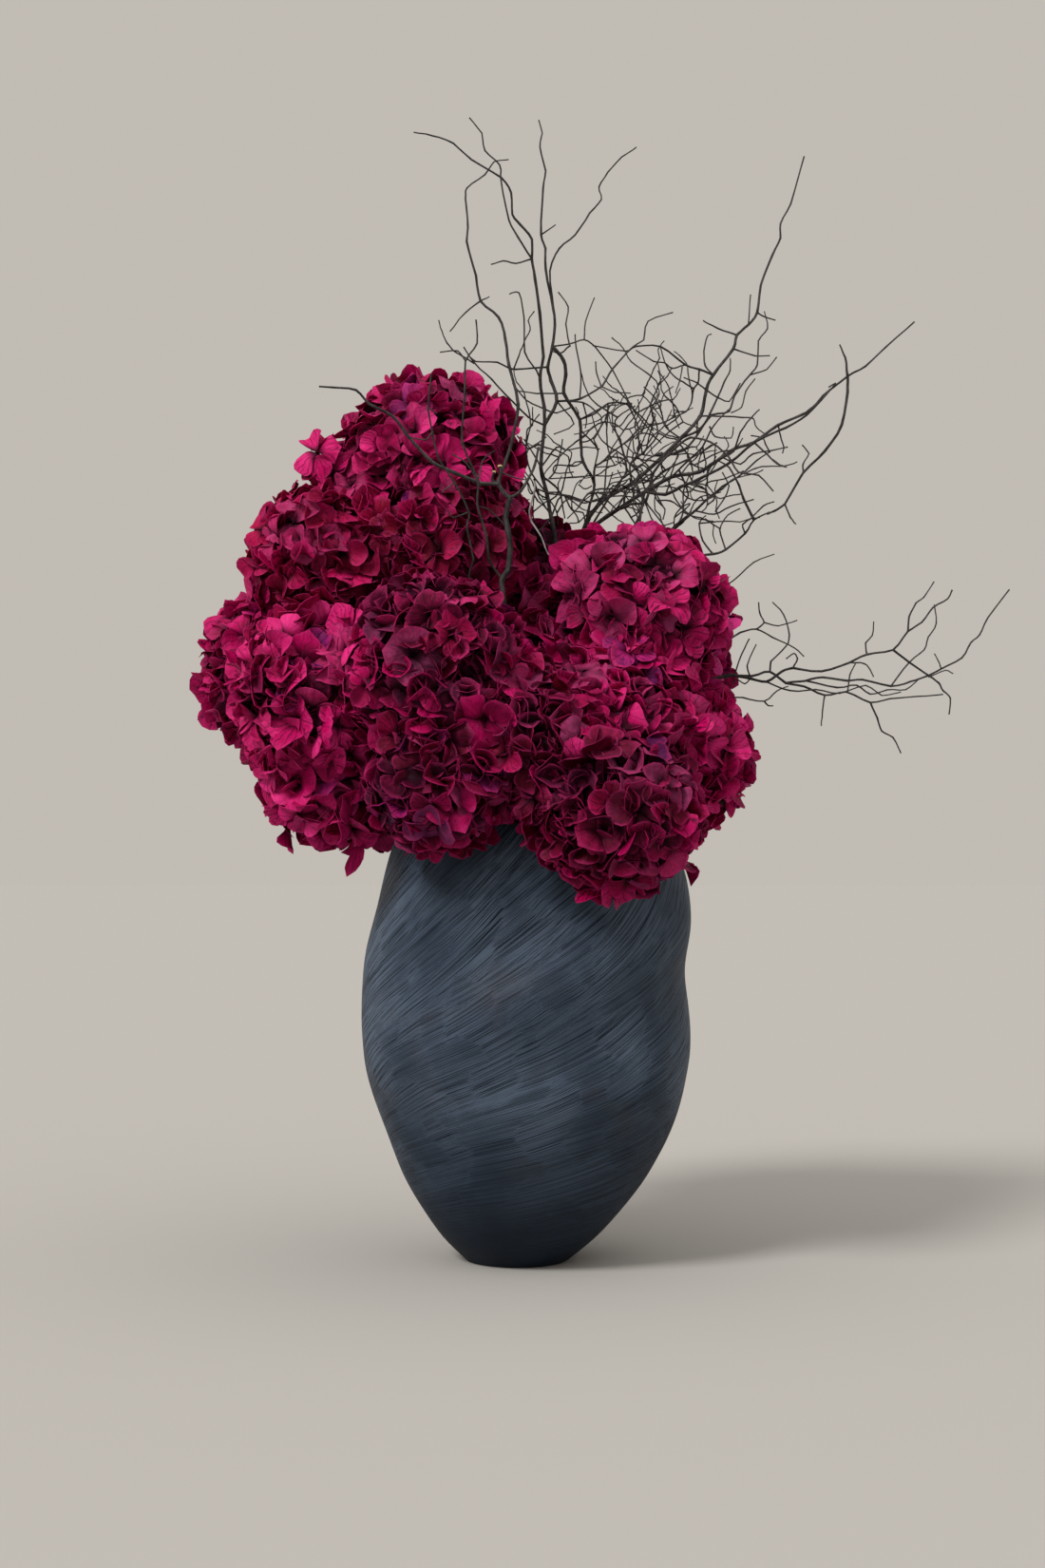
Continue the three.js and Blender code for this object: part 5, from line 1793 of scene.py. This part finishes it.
    def set_floret(
        self, head: Head, rng: random.Random, start: Vector, out: Vector, reach: float, layer: int
    ) -> bpy.types.Object | None:
        """Sets one floret, unless the vase is in the way.

        Args:
            head: The head that it is on.
            rng: The head's source of chance.
            start: The point that it faces away from.
            out: The way that it faces, before it leans.
            reach: How far from the start its tips are.
            layer: 0 at the head's surface, and 1 on its inner layer.

        Returns:
            The floret, or nothing.
        """
        dye = head.dye.value
        kinds = self.florets[layer]
        kind = kinds[int(len(kinds) * rng.random() ** dye.openness)]
        size = dye.floret_size * rng.uniform(*self.sizes)
        tall = max(corner[2] for corner in kind.bound_box) / MM * size
        reach += self.proud + self.lumps * noise.noise((start + out * reach) / self.lump_size)
        spot = start + out * (reach * rng.uniform(*self.depth) - self.sunk * tall)
        facing = (out + chance(rng, self.lean)).normalized()
        spun = Quaternion((0, 0, 1), rng.uniform(0, 2 * math.pi))
        turned = Vector((0, 0, 1)).rotation_difference(facing) @ spun
        if self.in_vase(spot):
            return None
        copy = kind.copy()
        copy.data = kind.data.copy()
        copy.data.transform(Matrix.LocRotScale(spot * MM, turned, Vector((size,) * 3)))
        self.dress(copy, head, rng, layer)
        link(copy)
        return copy

    def fill_seam(
        self, head: Head, rng: random.Random, normal: Vector, edge: float
    ) -> list[bpy.types.Object | None]:
        """Sets florets round the seam with a neighbour, on the side of the later head of the two.

        Args:
            head: The head.
            rng: The head's source of chance.
            normal: The way to the neighbour.
            edge: How far from the head's centre the seam is.

        Returns:
            The florets.
        """
        if edge <= 0 or edge > head.radius * self.shallow_seam or (normal.x, normal.y) < (0, 0):
            return []
        middle = Vector(head.centre) + normal * edge
        ring = math.sqrt(head.radius**2 - edge**2)
        side = normal.orthogonal().normalized()
        count = round(2 * math.pi * ring / self.spacing)
        filled = []
        for i in range(count):
            out = Quaternion(normal, 2 * math.pi * (i + rng.uniform(-0.3, 0.3)) / count) @ side
            spot = middle + out * ring
            if any(
                (spot - Vector(other.centre)).length < other.radius - 2
                for other in HEADS
                if other is not head
            ):
                continue
            filled.append(self.set_floret(head, rng, middle, out, ring + self.seam_lift, 0))
        return filled

    def core(self, head: Head) -> bpy.types.Object:
        """Makes the dark heart of a head, which paints in the shade inside it, trimmed where its neighbours
        begin.

        Args:
            head: The head.

        Returns:
            The heart.
        """
        deselect()
        bpy.ops.mesh.primitive_ico_sphere_add(
            subdivisions=4, radius=head.radius * self.core_share * MM, location=Vector(head.centre) * MM
        )
        core = bpy.context.object
        bpy.ops.object.transform_apply(location=True, rotation=True, scale=True)
        bpy.ops.object.mode_set(mode="EDIT")
        for normal, edge in self.seams(head):
            bpy.ops.mesh.select_all(action="SELECT")
            bpy.ops.mesh.bisect(
                plane_co=(Vector(head.centre) + normal * (edge - self.core_gap)) * MM, plane_no=normal,
                use_fill=True, clear_outer=True,
            )
        bpy.ops.object.mode_set(mode="OBJECT")
        return core

    def rest_on_vase(self, bloom: bpy.types.Object) -> None:
        """Lays whatever would reach into the vase on its outside instead.

        Args:
            bloom: A head or its heart.
        """
        for vertex in bloom.data.vertices:
            x, y, z = vertex.co / MM
            if z > RIM or z < 0:
                continue
            x -= along(VASE_LEAN, z)
            out, angle = math.hypot(x, y), math.atan2(y, x)
            skin = self.vase.radius(angle, z) + self.lie_on_vase
            if out < skin:
                moved = skin + (out - skin) * self.pressed
                vertex.co.x += (moved - out) * math.cos(angle) * MM
                vertex.co.y += (moved - out) * math.sin(angle) * MM

    def build(self) -> None:
        """Makes the florets, then every head from copies of them."""
        kinds = [bloom for bloom, count in self.kinds for _ in range(count)]
        outer = [Floret(seed, bloom).build() for seed, bloom in enumerate(kinds)]
        # Those of the inner layer, half hidden behind the others, are simpler.
        inner = [
            Floret(seed, bloom, across=2, lengthways=4, bare=True).build()
            for seed, bloom in enumerate(kinds, self.inner_seed)
        ]
        self.florets = [outer, inner]
        for index, head in enumerate(HEADS):
            bloom = join(self.place(head, index), "hydrangea_" + head.name)
            self.rest_on_vase(bloom)
            mount(bloom, SEPALS, ["bloom_" + head.name])
            core = self.core(head)
            core.name = "hydrangea_core_" + head.name
            self.rest_on_vase(core)
            mount(core, CORE, [])
        for floret in outer + inner:
            bpy.data.objects.remove(floret)


# ---- Studio ----


@dataclass
class Studio:
    """A plain pale floor, broad soft light from the upper left and from above, and the camera."""

    floor_size: float = 60.0
    lens: float = 50.0
    sensor: float = 36.0
    # How far the picture's middle is right of and above the level line of sight, in picture heights
    shift: tuple[float, float] = (0.0188, 0.0497)
    lamp_colour: str = "#fffaf4"
    glow_colour: str = "#f3ece2"
    glow: float = 0.6
    # Each lamp's name, the way that its light goes, its power and its softness
    lamps: tuple[tuple[str, tuple[float, float, float], float, float], ...] = (
        ("window", (0.7, 0.75, -0.95), 2.4, 16), ("ceiling", (0.0, 0.25, -1), 1.1, 90),
    )

    def floor(self) -> None:
        """Lays the floor that the vase stands on."""
        deselect()
        bpy.ops.mesh.primitive_plane_add(size=self.floor_size, location=(0, 0, 0))
        floor = bpy.context.object
        floor.name = "floor"
        floor.data.materials.append(PlainBoard("painted_board", "").material())

    def lamp(self, name: str, aim: tuple[float, float, float], power: float, softness: float) -> None:
        """Adds one broad, far lamp.

        Args:
            name: The lamp's name.
            aim: The way that its light goes.
            power: Its power, in watts on a square metre.
            softness: How wide it looks from the vase, in degrees.
        """
        light = bpy.data.lights.new(name, "SUN")
        light.energy = power
        light.angle = math.radians(softness)
        light.color = linear(self.lamp_colour)[:3]
        lamp = bpy.data.objects.new(name, light)
        lamp.rotation_euler = Vector(aim).to_track_quat("-Z", "Y").to_euler()
        link(lamp)

    def surroundings(self) -> None:
        """Lights everything from all sides, faintly."""
        world = bpy.data.worlds.new("surroundings")
        world.use_nodes = True
        world.node_tree.nodes.clear()
        glow = add_node(
            world.node_tree, "Background", {}, {"Color": linear(self.glow_colour), "Strength": self.glow}
        )
        add_node(world.node_tree, "OutputWorld", {}, {"Surface": glow.outputs[0]})
        bpy.context.scene.world = world
        bpy.context.scene.view_settings.view_transform = "Standard"

    def camera(self) -> None:
        """Stands the camera where the viewer's eye is, level, with its picture shifted."""
        lens = bpy.data.cameras.new("viewer")
        lens.lens = self.lens
        lens.sensor_width = self.sensor
        lens.clip_end = 100
        lens.shift_x, lens.shift_y = self.shift
        viewer = bpy.data.objects.new("viewer", lens)
        viewer.location = EYE * MM
        viewer.rotation_euler = (math.radians(90), 0, 0)
        link(viewer)
        bpy.context.scene.camera = viewer

    def build(self) -> None:
        """Sets up the floor, the light and the camera."""
        self.floor()
        self.surroundings()
        for lamp in self.lamps:
            self.lamp(*lamp)
        self.camera()


def main() -> None:
    """Builds the arrangement and the studio round it."""
    vase = Vase()
    vase.build()
    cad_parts["foam"].data.materials.clear()
    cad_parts["foam"].data.materials.append(FOAM.material())
    Stems().build()
    for branch in (
        Branch("willow_front", FRONT, ["branch_front"], girth=0.92),
        Branch("willow_tall", TALL, ["branch_tall"], twigs=30),
        Branch("willow_sweep_high", SWEEP_HIGH, ["branch_sweep_high"], twigs=36),
        Branch("willow_sweep_long", SWEEP_LONG, ["branch_sweep_long"], twigs=28),
        Branch("willow_sweep_low", SWEEP_LOW, ["branch_sweep_low"], twigs=24),
        Branch("willow_spray_low", SPRAY, ["spray_low"]),
        Branch("willow_peeled_shoot", PEELED_SHOOT, [], PEELED),
    ):
        branch.build()
    CutEnds().build()
    Mopheads(vase).build()
    Studio().build()


if __name__ == "__main__":
    main()
